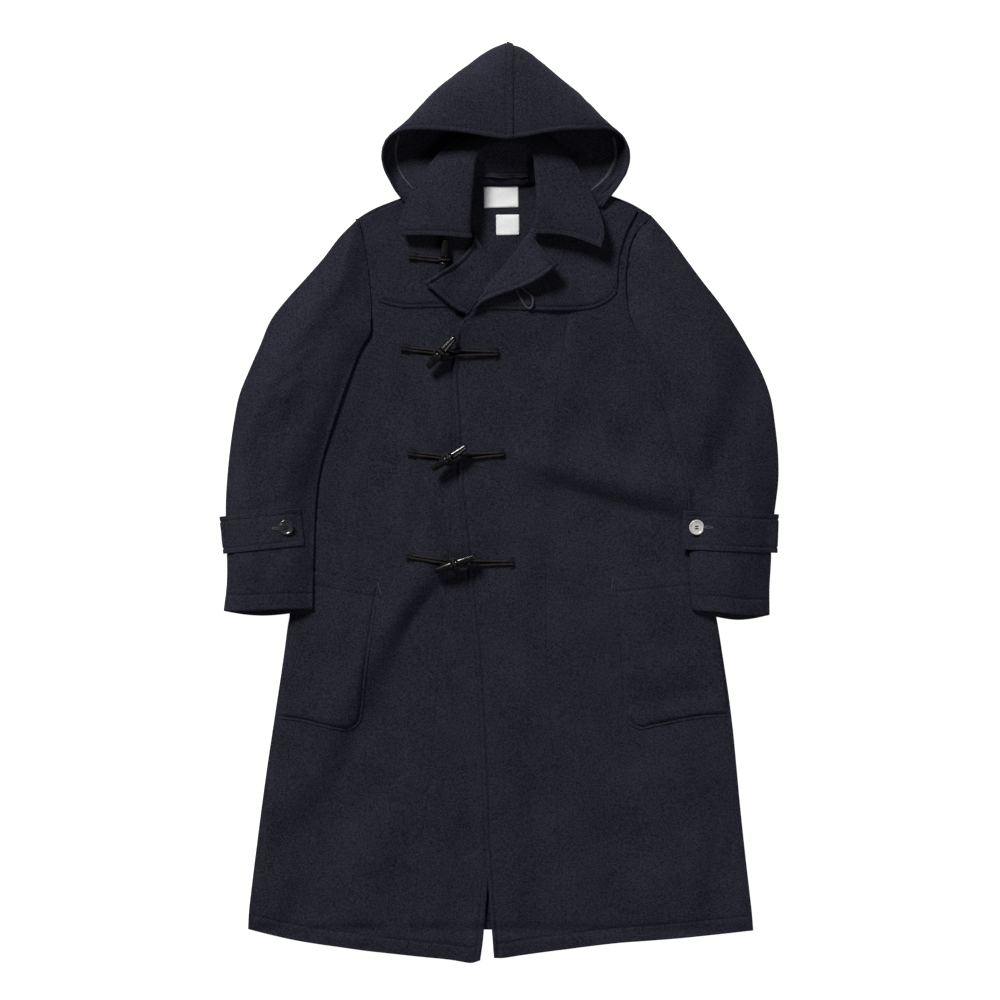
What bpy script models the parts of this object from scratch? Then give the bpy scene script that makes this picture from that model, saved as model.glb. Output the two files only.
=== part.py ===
"""A duffle coat in navy melton wool, laid flat on its back with its hood turned forward.

The coat lies on the plane z = 0. +X is the wearer's left, +Y runs from the hem to the hood, +Z is up,
and the origin is the middle of the coat's bounding box at the floor. Left and right are the wearer's.
Tables are in millimetres; solids are made in metres.
"""
import math

import bmesh
import bpy
from mathutils import Vector
from mathutils.bvhtree import BVHTree

MM = 0.001
MIDDLE = Vector((0.3, 0.8, 0))     # puts the middle of the bounding box on the origin

# Cloth
CLOTH = 2.8            # one layer of melton
DOUBLE = 4.2           # collar and lapels: two layers, seamed and topstitched
SEAM = 0.3             # gap between pieces at a seam, and between a piece and what it lies on
LABEL = 0.6            # woven label

# How one layer bends down off the edge of another
EDGE_MARGIN = 12.0     # it keeps its height this far past the edge
EDGE_SLOPE = 0.30      # then it falls this much per millimetre
FRONT_MARGIN = 30.0    # the margin for a whole front, which bridges more
LAPEL_MARGIN = 16.0    # the margin for a lapel
STRAP_MARGIN = 8.0     # the margin for a cuff strap
BUMP_MARGIN = 9.5      # the margin and the slope over a toggle
BUMP_SLOPE = 0.8
CORD_MARGIN = 6.0      # the margin and the slope for a cord
CORD_SLOPE = 0.5
RING_STEP = 7.0        # spacing of the rings in which the pieces below are felt
RINGS_OUT = 5

# Grid counts
UPPER_ROWS = 12        # neck and armhole part of a body panel
LOWER_ROWS = 20        # from the underarm and the break of the lapel to the hem
BACK_ROWS = 11         # the same stretch of the back
END_CROWDING = 0.35    # how much closer the lower rows are at the break and at the hem
NECK_ROWS = 4          # of the upper rows, those along the neck seam
HEAD_ROWS = 9          # of the upper rows, those along the visible part of the armhole
SIDE_COLUMNS = 7
CENTRE_COLUMNS = 8
SLEEVE_ROWS = 16

# Fullness
BODY_LOFT = 2.6        # air between the front and the back at the middle of each front
SLEEVE_ARCH = 10.0     # air between the two layers of a sleeve
EASE = 0.60            # more air than SEAM under a yoke and an under sleeve
TIP_LIFT = 15.0        # left lapel's tip above the front
ROLL_LIFT = 4.0        # left lapel's roll above the front
RIGHT_TIP_LIFT = 6.0   # right lapel's tip above the yoke

# Soft folds of the fronts. Columns: x, y of the middle, length, width, direction in degrees, height
FOLDS = [
    (-150, -230, 300, 46, 60, 2.6),
    (-190, -480, 260, 60, 78, 2.2),
    (-110, 130, 170, 34, 100, 2.4),
    (180, 60, 260, 52, 62, 2.6),
    (190, -250, 280, 50, 96, 2.4),
    (240, -500, 240, 60, 100, 2.2),
    (60, -420, 260, 44, 92, 2.0),
    (-40, -560, 160, 40, 84, 1.6),
]

# Neck and shoulders, (x, y)
BACK_NECK = [(-78, 474), (-36, 472), (10, 471), (54, 472), (98, 476)]
SHOULDER = {
    "right": [(-207, 418), (-193, 427), (-177, 435), (-146, 447), (-114, 460), (-78, 474)],
    "left": [(225, 420), (207, 432), (190, 441), (167, 450), (133, 464), (98, 476)],
}
ARMHOLE_HEAD = {
    "right": [(-207, 418), (-201, 390), (-196, 366), (-191, 328), (-188, 291), (-188, 268), (-189, 249)],
    "left": [(225, 420), (208, 404), (194, 383), (189, 357), (186, 328), (188, 297), (192, 275), (199, 257)],
}
ARMHOLE_UNDER = {
    "right": [(-189, 249), (-206, 226), (-228, 193), (-253, 165)],
    "left": [(199, 257), (218, 227), (244, 190), (277, 162)],
}
NECK_SEAM = {
    "right": [(-78, 474), (-75, 448), (-62, 420), (-37, 398)],
    "left": [(98, 476), (96, 451), (82, 428), (54, 411)],
}

# Side seams from the underarm to the hem, (x, y)
SIDE_SEAM = {
    "right": [(-253, 165), (-269, 34), (-288, -84), (-307, -159), (-313, -202), (-330, -315),
              (-343, -403), (-358, -518), (-368, -603), (-369, -626)],
    "left": [(277, 162), (289, 34), (303, -84), (318, -163), (327, -218), (341, -315),
             (354, -449), (361, -515), (371, -603), (373, -628)],
}
BACK_HEM = [(-369, -626), (0, -627), (373, -628)]
FRONT_HEM = {
    "right": [(-369, -626), (-305, -641), (-227, -653), (-150, -663), (-74, -671), (-39, -676), (-28, -672)],
    "left": [(373, -628), (317, -634), (241, -641), (164, -647), (86, -657), (29, -665), (8, -668), (-8, -668)],
}

# Front edges from the break of the lapel to the hem; the left front lies over the right one
FRONT_EDGE = {
    "right": [(58, 250), (52, 151), (42, -25), (25, -202), (5, -378), (-11, -510), (-16, -554), (-22, -619),
              (-25, -653), (-28, -672)],
    "left": [(-62, 253), (-68, 189), (-64, 125), (-59, 26), (-49, -71), (-42, -143), (-36, -202), (-28, -319),
             (-22, -450), (-20, -513), (-15, -578), (-11, -628), (-8, -668)],
}
ROLL_LINE = {
    "right": [(-37, 398), (-25, 376), (-12, 360), (-3, 347), (25, 303), (58, 250)],
    "left": [(54, 411), (41, 394), (26, 373), (5, 347), (-17, 319), (-34, 296), (-52, 270), (-62, 253)],
}
# Princess seams: the upper part runs beside the armhole, the lower part to the hem
PRINCESS_UPPER = {
    "right": [(-96, 466), (-87, 401), (-78, 328), (-72, 269), (-71, 203)],
    "left": [(116, 468), (113, 416), (109, 340), (100, 270), (89, 200)],
}
PRINCESS_LOWER = {
    "right": [(-71, 203), (-70, 107), (-70, 4), (-74, -84), (-81, -153), (-92, -280), (-108, -457),
              (-115, -500), (-124, -584), (-135, -665)],
    "left": [(89, 200), (79, 114), (72, 59), (66, -6), (66, -71), (69, -137), (69, -199), (73, -299),
             (83, -410), (88, -522), (92, -602), (95, -656)],
}

# Yokes, (x, y)
YOKE_SHOULDER = {
    "right": [(-193, 419), (-177, 429), (-146, 442), (-114, 457), (-80, 471)],
    "left": [(203, 429), (186, 438), (166, 446), (133, 461), (100, 473)],
}
YOKE_ARMHOLE = {
    "right": [(-193, 419), (-187, 398), (-180, 370), (-178, 328), (-177, 295)],
    "left": [(203, 429), (187, 398), (178, 370), (174, 344), (173, 307)],
}
YOKE_HEM = {
    "right": [(-177, 295), (-156, 289), (-139, 286), (-86, 287), (24, 290)],
    "left": [(173, 307), (157, 294), (136, 285), (105, 282), (51, 282), (-34, 284)],
}
YOKE_FRONT = {
    "right": [(-80, 471), (-77, 448), (-64, 419), (-40, 397), (-15, 358), (24, 290)],
    "left": [(100, 473), (98, 451), (84, 427), (57, 410), (7, 344), (-34, 284)],
}

# Lapels: from the roll line out to the tip, and the turned-out front edge back to the break
LAPEL_NOTCH = {
    "right": [(-37, 398), (-43, 376), (-62, 354), (-87, 338), (-112, 323)],
    "left": [(45, 399), (49, 391), (63, 372), (86, 347)],
}
LAPEL_EDGE = {
    "right": [(-112, 323), (-87, 301), (-55, 278), (-5, 263), (44, 258)],
    "left": [(86, 347), (73, 336), (45, 319), (17, 308), (-12, 298), (-34, 286), (-50, 272)],
}
LAPEL_ROLL = {
    "right": [(-37, 398), (-25, 376), (-12, 360), (-3, 347), (25, 303), (50, 263)],
    "left": [(45, 399), (38, 390), (26, 373), (5, 347), (-17, 319), (-34, 296), (-55, 265)],
}

# Collar stations along the strip, from the right front end to the left one. Columns: seam, roll line and
# outer edge, as points at the middle of the cloth, then the bow of the middle of the fall along y
COLLAR = [
    ((-45, 399, 12), (-40, 387, 26), (-142, 391, 24), 2),
    ((-54, 410, 12), (-42, 402, 29), (-147, 405, 24), 0),
    ((-63, 424, 12), (-41, 420, 32), (-143, 423, 23), 0),
    ((-71, 440, 12), (-39, 440, 34), (-134, 445, 22), 0),
    ((-75, 457, 12), (-37, 462, 36), (-121, 468, 21), 0),
    ((-74, 470, 10), (-35, 486, 36), (-101, 497, 20), 0),
    ((-62, 470, 7), (-31, 508, 36), (-74, 525, 19), 0),
    ((-42, 470, 5.4), (-18, 521, 35), (-36, 545, 16), 0),
    ((-16, 469, 5.4), (-4, 525, 34), (-10, 555, 14), 0),
    ((10, 468, 5.4), (10, 526, 34), (10, 558, 14), 0),
    ((36, 469, 5.4), (24, 525, 34), (30, 555, 14), 0),
    ((62, 471, 5.4), (36, 521, 35), (56, 544, 16), 0),
    ((82, 472, 7), (48, 508, 36), (84, 524, 19), 0),
    ((93, 472, 10), (51, 486, 36), (108, 500, 21), 0),
    ((94, 459, 12), (53, 463, 36), (125, 473, 23), 0),
    ((91, 445, 12), (54, 443, 35), (138, 447, 26), 0),
    ((83, 431, 12), (54, 426, 33), (148, 422, 29), 1),
    ((72, 421, 12), (51, 411, 30), (154, 394, 31), 3),
    ((60, 413, 12), (44, 395, 27), (149, 372, 32), 7),
]
FALL_LENGTHWISE = 7    # points down the fall
ROLL_ROUND = 7.0       # the collar turns over within this distance of its roll line
ROLL_DIP = 1.5         # and the turn's ends lie this much off the straight line
FALL_BULGE = 2.5       # rise of the middle of the fall

# Hood stations, from the centre seam to the front end of the neck seam. Columns: rim (the free edge), out
# (the fold seen as the outline), bowl (width of the turn from there down to the floor), neck seam
HOOD = {
    "right": [
        ((9.8, 528.5, 62), (9.6, 673.1, 9), 9, (9.7, 477, 4.6)),
        ((-18, 532.5, 63), (-14, 663, 9), 9, (-8, 477, 4.6)),
        ((-47, 537.5, 63), (-46, 641, 10), 10, (-24, 477, 4.6)),
        ((-76, 541, 61), (-80, 615, 11), 11, (-38, 477.5, 4.6)),
        ((-103, 543, 57), (-109, 587, 12), 13, (-50, 478.5, 4.6)),
        ((-127, 543.5, 51), (-134, 560, 15), 17, (-60, 478, 4.6)),
        ((-148, 541, 43), (-151, 544, 20), 23, (-68, 478.5, 5)),
        ((-163, 530, 37), (-164, 531, 26), 30, (-76, 479, 6)),
        ((-170, 512, 32), (-170.5, 512, 27), 35, (-83, 478, 8)),
        ((-168, 491, 28), (-168.5, 491, 23), 32, (-84, 468, 10.7)),
        ((-159, 472, 24), (-159.5, 472, 19), 26, (-82, 456, 10.7)),
        ((-148, 454, 19), (-148.5, 454, 15), 20, (-78, 444, 10.7)),
        ((-134, 437, 15), (-134.5, 437, 12.5), 14, (-72, 432, 10.7)),
    ],
    "left": [
        ((10.4, 528.5, 62), (10.9, 673.1, 9), 9, (10.6, 477, 4.6)),
        ((38, 532.5, 63), (36, 664, 9), 9, (30, 477, 4.6)),
        ((66, 538, 63), (66, 641, 10), 10, (46, 478, 4.6)),
        ((95, 542, 61), (97, 615, 11), 11, (60, 479, 4.6)),
        ((121, 543, 57), (123, 592, 12), 13, (72, 478, 4.6)),
        ((145, 544, 51), (149, 565, 15), 17, (82, 479, 4.6)),
        ((164, 544, 43), (168, 547, 20), 23, (90, 480, 5)),
        ((180, 533, 37), (181, 534, 26), 30, (97, 481, 6)),
        ((189, 512, 32), (189.5, 512, 27), 35, (103, 479, 8)),
        ((186, 488, 28), (186.5, 488, 23), 32, (103, 469, 10.7)),
        ((175, 468, 24), (175.5, 468, 19), 26, (101, 459, 10.7)),
        ((161, 450, 19), (161.5, 450, 15), 20, (98, 449, 10.7)),
        ((149, 434, 15.5), (149.5, 434, 13), 14, (90, 437, 10.7)),
    ],
}
HOOD_POINTS = 13       # points from rim to neck
CROWN_BULGE = 5.0      # crown's middle above a straight fall from rim to fold
CROWN_FULLNESS = 0.8   # power of the crown's fall: less than 1 keeps it high for longer
HOOD_LIFT = 0.8        # height of the middle of the hood over the body, in cloth thicknesses

# Sleeves: outer fold from the shoulder to the cuff, and the inner fold from the armhole to the cuff
SLEEVE_OUTER = {
    "right": [(-207, 418), (-219, 410), (-234, 391), (-256, 362), (-284, 330), (-312, 299), (-332, 275),
              (-356, 220), (-371, 186), (-383, 154), (-394, 90), (-400, 32), (-402, -15), (-400, -83),
              (-401, -130), (-405, -159)],
    "left": [(225, 420), (236, 412), (248, 394), (275, 357), (301, 322), (323, 294), (342, 267), (370, 220),
             (384, 194), (396, 166), (406, 107), (410, 60), (409, 20), (405, -8), (400, -45), (399, -90),
             (397, -120), (397, -165)],
}
SLEEVE_INNER = {
    "right": [(-189, 249), (-203, 225), (-217, 191), (-230, 154), (-246, 107), (-259, 64), (-266, 30),
              (-270, -19), (-272, -74), (-273, -156)],
    "left": [(199, 257), (214, 222), (227, 190), (236, 160), (247, 120), (259, 78), (270, 46), (276, 10),
             (279, -60), (280, -120), (283, -158)],
}
CUFF = {
    "right": [(-405, -159), (-366, -158), (-322, -156), (-273, -156)],
    "left": [(397, -165), (357, -164), (319, -160), (283, -158)],
}
CUFF_UNDER_LONGER = 9.0    # the under sleeve shows this far below the upper one
ARMHOLE_FALL = 0.32        # share of the sleeve's length over which its arch builds up
SLEEVE_MARGIN = 20.0       # the under sleeve keeps the body's height this far past its edge
ARCH_FULLNESS = 0.75       # power of the arch across the sleeve: less than 1 makes its sides steeper

# Cuff straps: button end, then the edge that wraps round the outer fold
STRAP_WIDTH = {"right": 55.0, "left": 57.0}
STRAP_MIDDLE = {"right": ((-288, -35), (-402, -47)), "left": ((268, -40), (403.2, -45))}
STRAP_TURN = 4.5           # how far the strap stands off the sleeve's fold

# Pockets on the side fronts, from the top inner corner round the rounded bottom to the side seam
POCKET_TOP = {
    "right": [(-303, -92), (-269, -100), (-205, -113), (-172, -119)],
    "left": [(311, -97), (270, -101), (235, -104), (164, -111)],
}
POCKET_INNER = {
    "right": [(-172, -119), (-179, -155), (-186, -202), (-194, -260), (-198, -303), (-205, -327), (-221, -336)],
    "left": [(164, -111), (172, -202), (174, -249), (177, -293), (184, -320), (206, -334)],
}
POCKET_BOTTOM = {
    "right": [(-328, -319), (-296, -322), (-261, -330), (-237, -335), (-221, -336)],
    "left": [(338, -316), (305, -317), (270, -322), (235, -329), (206, -334)],
}
POCKET_SIDE = {
    "right": [(-303, -92), (-313, -202), (-328, -319)],
    "left": [(311, -97), (325, -215), (338, -316)],
}

# Toggles and their cords
CORD = 1.75                # cord's radius
CORD_APART = 2.1           # half the distance between a cord's two strands
LOOP_APART = 7.3           # half the loop's width where the cord passes through it
# Columns: waist, angle, height, tilt, length, cord's sewn end, loop's sewn end
TOGGLES = [
    ((-81, 356), 84, 17.6, 4, 60, (-131, 361), None),
    ((-85, 220), 48, 22.6, 5, 60, (-143, 227), (-2, 219)),
    ((-73, 66), 35, 22.6, 5, 61, (-133, 73), (7, 72)),
    ((-65, -89), 20, 22.6, 5, 65, (-135, -78), (21, -88)),
]
# Turned profile of a toggle: distance from the waist as a share of half the length, radius
TOGGLE_PROFILE = [(0.0, 4.4), (0.10, 4.4), (0.155, 6.6), (0.30, 6.5), (0.62, 5.5), (0.90, 4.4), (0.985, 3.6)]
TOP_LOOP = [(20, 322), (27, 306), (40, 286), (46, 285), (49, 292), (48, 301), (37, 311), (28, 322)]

# Buttons, labels and hanger
BUTTON_RADIUS = 11.0
BUTTON_THICK = 3.0
BUTTON_HOLE = 1.1
BUTTON_HOLES_OUT = 2.4     # distance of the holes from the middle
BUTTON_AT = {"right": (-312, -36), "left": (289, -36)}
LABELS = {"size_label": ((2.5, 449), (52, 32)), "care_label": ((12.5, 408), (35, 31))}
HANGER = ((10, 481.5), (66, 7))

COLOURS = {
    "wool": (0.011, 0.013, 0.024),
    "cord": (0.010, 0.008, 0.008),
    "horn": (0.012, 0.010, 0.009),
    "label": (0.80, 0.80, 0.78),
    "button_dark": (0.02, 0.02, 0.025),
    "button_light": (0.55, 0.53, 0.50),
    "tape": (0.02, 0.02, 0.03),
}

built = {}


def metres(point):
    """A point of the tables in the scene."""
    return (point + MIDDLE) * MM


def clear_scene():
    for thing in list(bpy.data.objects):
        bpy.data.objects.remove(thing, do_unlink=True)


def material(name, roughness):
    found = bpy.data.materials.get(name)
    if found:
        return found
    made = bpy.data.materials.new(name)
    made.use_nodes = True
    shader = made.node_tree.nodes["Principled BSDF"]
    shader.inputs["Base Color"].default_value = (*COLOURS[name], 1.0)
    shader.inputs["Roughness"].default_value = roughness
    shader.inputs["Metallic"].default_value = 0.0
    return made


# Curves through a few points

def spline(points, count, crowding=0.0):
    """count + 1 points along a smooth curve through the given ones."""
    knots = [Vector(p).to_3d() for p in points]
    ends = [knots[0] * 2 - knots[1], *knots, knots[-1] * 2 - knots[-2]]
    fine = []
    for before, start, end, after in zip(ends, ends[1:], ends[2:], ends[3:]):
        span = max((end - start).length, 1e-6)
        lean_in = (end - before) * (span / max((end - start).length + (start - before).length, 1e-6))
        lean_out = (after - start) * (span / max((after - end).length + span, 1e-6))
        for step in range(24):
            t = step / 24
            t2 = t * t
            t3 = t2 * t
            fine.append(start * (2 * t3 - 3 * t2 + 1) + lean_in * (t3 - 2 * t2 + t)
                        + end * (3 * t2 - 2 * t3) + lean_out * (t3 - t2))
    fine.append(knots[-1])
    return evenly(fine, count, crowding)


def evenly(points, count, crowding=0.0):
    """count + 1 points along a polyline, at equal distances or closer near both ends."""
    lengths = [0.0]
    for start, end in zip(points, points[1:]):
        lengths.append(lengths[-1] + (end - start).length)
    result = []
    place = 0
    for step in range(count + 1):
        share = step / count - crowding * math.sin(2 * math.pi * step / count) / (2 * math.pi)
        target = lengths[-1] * share
        while place < len(points) - 2 and lengths[place + 1] < target:
            place += 1
        span = max(lengths[place + 1] - lengths[place], 1e-9)
        share = min(max((target - lengths[place]) / span, 0.0), 1.0)
        result.append(points[place].lerp(points[place + 1], share))
    return result


def joined(*parts):
    """One edge out of (points, count) parts that share their end points; a third item crowds the ends."""
    edge = []
    for points, count, *crowding in parts:
        piece = spline(points, count, *crowding)
        edge += piece if not edge else piece[1:]
    return edge


def smooth(t):
    t = min(max(t, 0.0), 1.0)
    return t * t * (3 - 2 * t)


# Panels

def patch(top, bottom, first, last):
    """Rows of points that fill four edges: first and last run from top to bottom."""
    columns = len(top) - 1
    rows = len(first) - 1
    grid = []
    for j in range(rows + 1):
        v = j / rows
        row = []
        for i in range(columns + 1):
            u = i / columns
            across = first[j].lerp(last[j], u)
            along = top[i].lerp(bottom[i], v)
            corners = top[0].lerp(top[-1], u).lerp(bottom[0].lerp(bottom[-1], u), v)
            row.append(across + along - corners)
        grid.append(row)
    return grid


def drawn_in(grid, gap=SEAM / 2):
    """The same rows with each border moved in by a gap."""
    rows = len(grid) - 1
    columns = len(grid[0]) - 1
    moved = [[point.copy() for point in row] for row in grid]
    for i in range(columns + 1):
        moved[0][i] += (grid[1][i] - grid[0][i]).normalized() * gap
        moved[rows][i] += (grid[rows - 1][i] - grid[rows][i]).normalized() * gap
    for j in range(rows + 1):
        moved[j][0] += (grid[j][1] - grid[j][0]).normalized() * gap
        moved[j][columns] += (grid[j][columns - 1] - grid[j][columns]).normalized() * gap
    return moved


def normals(grid):
    rows = len(grid) - 1
    columns = len(grid[0]) - 1
    result = []
    for j in range(rows + 1):
        row = []
        for i in range(columns + 1):
            across = grid[j][min(i + 1, columns)] - grid[j][max(i - 1, 0)]
            along = grid[min(j + 1, rows)][i] - grid[max(j - 1, 0)][i]
            row.append(across.cross(along).normalized())
        result.append(row)
    return result


def upward(grid):
    """Directions from a panel's underside to its face; plumb along the borders, so that seams stay open."""
    result = [[n if n.z > 0 else -n for n in row] for row in normals(grid)]
    rows = len(grid) - 1
    columns = len(grid[0]) - 1
    for j, row in enumerate(result):
        for i, n in enumerate(row):
            if j in (0, rows) or i in (0, columns):
                row[i] = Vector((0, 0, 1))
    return result


def solid(name, under, over, look, roughness):
    """A closed wall between two grids of points."""
    rows = len(under)
    columns = len(under[0])
    mesh = bpy.data.meshes.new(name)
    shape = bmesh.new()
    low = [[shape.verts.new(metres(p)) for p in row] for row in under]
    high = [[shape.verts.new(metres(p)) for p in row] for row in over]
    for j in range(rows - 1):
        for i in range(columns - 1):
            shape.faces.new((high[j][i], high[j][i + 1], high[j + 1][i + 1], high[j + 1][i]))
            shape.faces.new((low[j][i], low[j + 1][i], low[j + 1][i + 1], low[j][i + 1]))
    for i in range(columns - 1):
        for j in (0, rows - 1):
            shape.faces.new((low[j][i], low[j][i + 1], high[j][i + 1], high[j][i]))
    for j in range(rows - 1):
        for i in (0, columns - 1):
            shape.faces.new((low[j][i], low[j + 1][i], high[j + 1][i], high[j][i]))
    finish(name, shape, mesh, look, roughness)


def finish(name, shape, mesh, look, roughness):
    """Orients a mesh outwards, names it and keeps its surface for what lies on it."""
    bmesh.ops.recalc_face_normals(shape, faces=shape.faces)
    if shape.calc_volume(signed=True) < 0:
        bmesh.ops.reverse_faces(shape, faces=shape.faces)
    built[name] = BVHTree.FromBMesh(shape)
    shape.to_mesh(mesh)
    shape.free()
    mesh.shade_smooth()
    mesh.set_sharp_from_angle(angle=math.radians(40))
    thing = bpy.data.objects.new(name, mesh)
    thing.data.materials.append(material(look, roughness))
    bpy.context.scene.collection.objects.link(thing)
    return thing


def wall(name, grid, thick, look="wool", roughness=0.92):
    """Cloth whose underside is the grid, face up."""
    out = upward(grid)
    over = [[p + n * thick for p, n in zip(row, ns)] for row, ns in zip(grid, out)]
    solid(name, grid, over, look, roughness)
    return over


def middle_wall(name, grid, thick, look="wool", roughness=0.92):
    """Cloth whose middle is the grid, either way up."""
    out = normals(grid)
    under = [[p - n * (thick / 2) for p, n in zip(row, ns)] for row, ns in zip(grid, out)]
    over = [[p + n * (thick / 2) for p, n in zip(row, ns)] for row, ns in zip(grid, out)]
    solid(name, under, over, look, roughness)


# Resting one piece on others

def top_of(x, y, names):
    """Height of the uppermost surface there, or zero on the bare floor."""
    best = 0.0
    start = metres(Vector((x, y, 900)))
    down = Vector((0, 0, -1))
    for name in names:
        hit = built[name].ray_cast(start, down)[0]
        if hit is not None:
            best = max(best, hit.z / MM + SEAM)
    return best


def rest_height(x, y, names, below=None, margin=EDGE_MARGIN, slope=EDGE_SLOPE):
    """Lowest height for cloth that lies over the named pieces and bends down off their edges."""
    best = top_of(x, y, names) if below is None or y <= below else 0.0
    near = [(margin * k / 3, 12) for k in (1, 2, 3)]
    far = [(margin + RING_STEP * k, 20) for k in range(1, RINGS_OUT + 1)]
    for radius, count in near + far:
        drop = slope * max(radius - margin, 0.0)
        for k in range(count):
            angle = 2 * math.pi * k / count
            sx = x + radius * math.cos(angle)
            sy = y + radius * math.sin(angle)
            if below is None or sy <= below:
                best = max(best, top_of(sx, sy, names) - drop)
    return best


def laid(grid, names, extra=None, **bend):
    """The plan grid lifted onto the named pieces, plus extra(x, y, u, v)."""
    rows = len(grid) - 1
    columns = len(grid[0]) - 1
    result = []
    for j, row in enumerate(grid):
        lifted = []
        for i, p in enumerate(row):
            z = rest_height(p.x, p.y, names, **bend)
            if extra:
                z += extra(p.x, p.y, i / columns, j / rows)
            lifted.append(Vector((p.x, p.y, z)))
        result.append(lifted)
    return result


def body_loft(x, y, u, v):
    """Air under a front: none near the centre edges and under the sleeves, most in the folds."""
    centre = -40 - 0.03 * (y + 200)
    inside = smooth((abs(x - centre) - 62) / 70)
    half = 250 - 0.17 * y
    edge = smooth((half - abs(x)) / 60)
    below_yoke = smooth((262 - y) / 60)
    level = BODY_LOFT * (0.55 + 0.45 * math.sin(y / 90) * math.cos(x / 70))
    for fx, fy, length, width, degrees, height in FOLDS:
        along = math.cos(math.radians(degrees)) * (x - fx) + math.sin(math.radians(degrees)) * (y - fy)
        across = -math.sin(math.radians(degrees)) * (x - fx) + math.cos(math.radians(degrees)) * (y - fy)
        level += height * math.exp(-(along / length * 2) ** 2 - (across / width) ** 2)
    return level * inside * edge * below_yoke


def eased(x, y, u, v):
    """A little more air where one curved cloth lies on another."""
    return EASE


def make_back():
    top = joined((SHOULDER["right"], 4), (BACK_NECK, 5), (SHOULDER["left"][::-1], 4))
    bottom = spline(BACK_HEM, 13)
    first = joined((ARMHOLE_HEAD["right"], HEAD_ROWS), (ARMHOLE_UNDER["right"], UPPER_ROWS - HEAD_ROWS),
                   (SIDE_SEAM["right"], BACK_ROWS))
    last = joined((ARMHOLE_HEAD["left"], HEAD_ROWS), (ARMHOLE_UNDER["left"], UPPER_ROWS - HEAD_ROWS),
                  (SIDE_SEAM["left"], BACK_ROWS))
    wall("back", drawn_in(patch(top, bottom, first, last)), CLOTH)


def princess(side):
    return joined((PRINCESS_UPPER[side], UPPER_ROWS), (PRINCESS_LOWER[side], LOWER_ROWS, END_CROWDING))


def split_at(points, x):
    """Index of the sample of an edge that is nearest to x."""
    return min(range(len(points)), key=lambda k: abs(points[k].x - x))


def make_front(side, under):
    """Side and centre panels of one front, laid over what is below."""
    seam = princess(side)
    shoulder = spline(SHOULDER[side], 60)
    hem = spline(FRONT_HEM[side], 60)
    shoulder_cut = split_at(shoulder, seam[0].x)
    hem_cut = split_at(hem, seam[-1].x)
    seam[0] = shoulder[shoulder_cut]
    seam[-1] = hem[hem_cut]

    outer = joined((ARMHOLE_HEAD[side], HEAD_ROWS), (ARMHOLE_UNDER[side], UPPER_ROWS - HEAD_ROWS),
                   (SIDE_SEAM[side], LOWER_ROWS, END_CROWDING))
    top = evenly(shoulder[:shoulder_cut + 1], SIDE_COLUMNS)
    bottom = evenly(hem[:hem_cut + 1], SIDE_COLUMNS)
    plan = drawn_in(patch(top, bottom, outer, seam))
    wall(side + "_front_side", laid(plan, under, body_loft, margin=FRONT_MARGIN), CLOTH)

    inner = joined((NECK_SEAM[side], NECK_ROWS), (ROLL_LINE[side], UPPER_ROWS - NECK_ROWS),
                   (FRONT_EDGE[side], LOWER_ROWS, END_CROWDING))
    top = evenly(shoulder[shoulder_cut:], CENTRE_COLUMNS)
    bottom = evenly(hem[hem_cut:], CENTRE_COLUMNS)
    plan = drawn_in(patch(top, bottom, seam, inner))
    wall(side + "_front_centre", laid(plan, under, body_loft, margin=FRONT_MARGIN), CLOTH)


def make_yoke(side):
    top = spline(YOKE_SHOULDER[side], 11)
    bottom = spline(YOKE_HEM[side], 11)
    plan = patch(top, bottom, spline(YOKE_ARMHOLE[side], 8), spline(YOKE_FRONT[side], 8))
    wall(side + "_yoke", laid(plan, [side + "_front_side", side + "_front_centre"], eased), CLOTH)


def make_pocket(side):
    top = spline(POCKET_TOP[side], 7)
    bottom = spline(POCKET_BOTTOM[side], 7)
    plan = drawn_in(patch(top, bottom, spline(POCKET_SIDE[side], 10), spline(POCKET_INNER[side], 10)), 1.5)
    wall(side + "_pocket", laid(plan, [side + "_front_side", side + "_front_centre"]), CLOTH)


def make_lapel(side, under, lift, bump=()):
    """The turned-out front edge; it starts on the roll line, and may ride over a narrow bump."""
    top = spline(LAPEL_NOTCH[side], 7)
    roll = spline(LAPEL_ROLL[side], 9)
    edge = spline(LAPEL_EDGE[side], 9)
    bottom = evenly([roll[-1], edge[-1]], 7)
    grid = laid(drawn_in(patch(top, bottom, roll, edge), 0.4), under, lift, margin=LAPEL_MARGIN)
    for p in (p for row in grid for p in row):
        p.z = max(p.z, rest_height(p.x, p.y, bump, margin=BUMP_MARGIN, slope=BUMP_SLOPE))
    wall(side + "_lapel", grid, DOUBLE)


def right_lapel_lift(x, y, u, v):
    return RIGHT_TIP_LIFT * smooth((-30 - x) / 60)


def left_lapel_lift(x, y, u, v):
    """The roll stands up at once, and the edge most of all at the tip."""
    along = 1 - smooth(v)
    return (ROLL_LIFT * math.sin(min(u * 3, 1.0) * math.pi / 2) + TIP_LIFT * smooth(u)) * along


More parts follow.
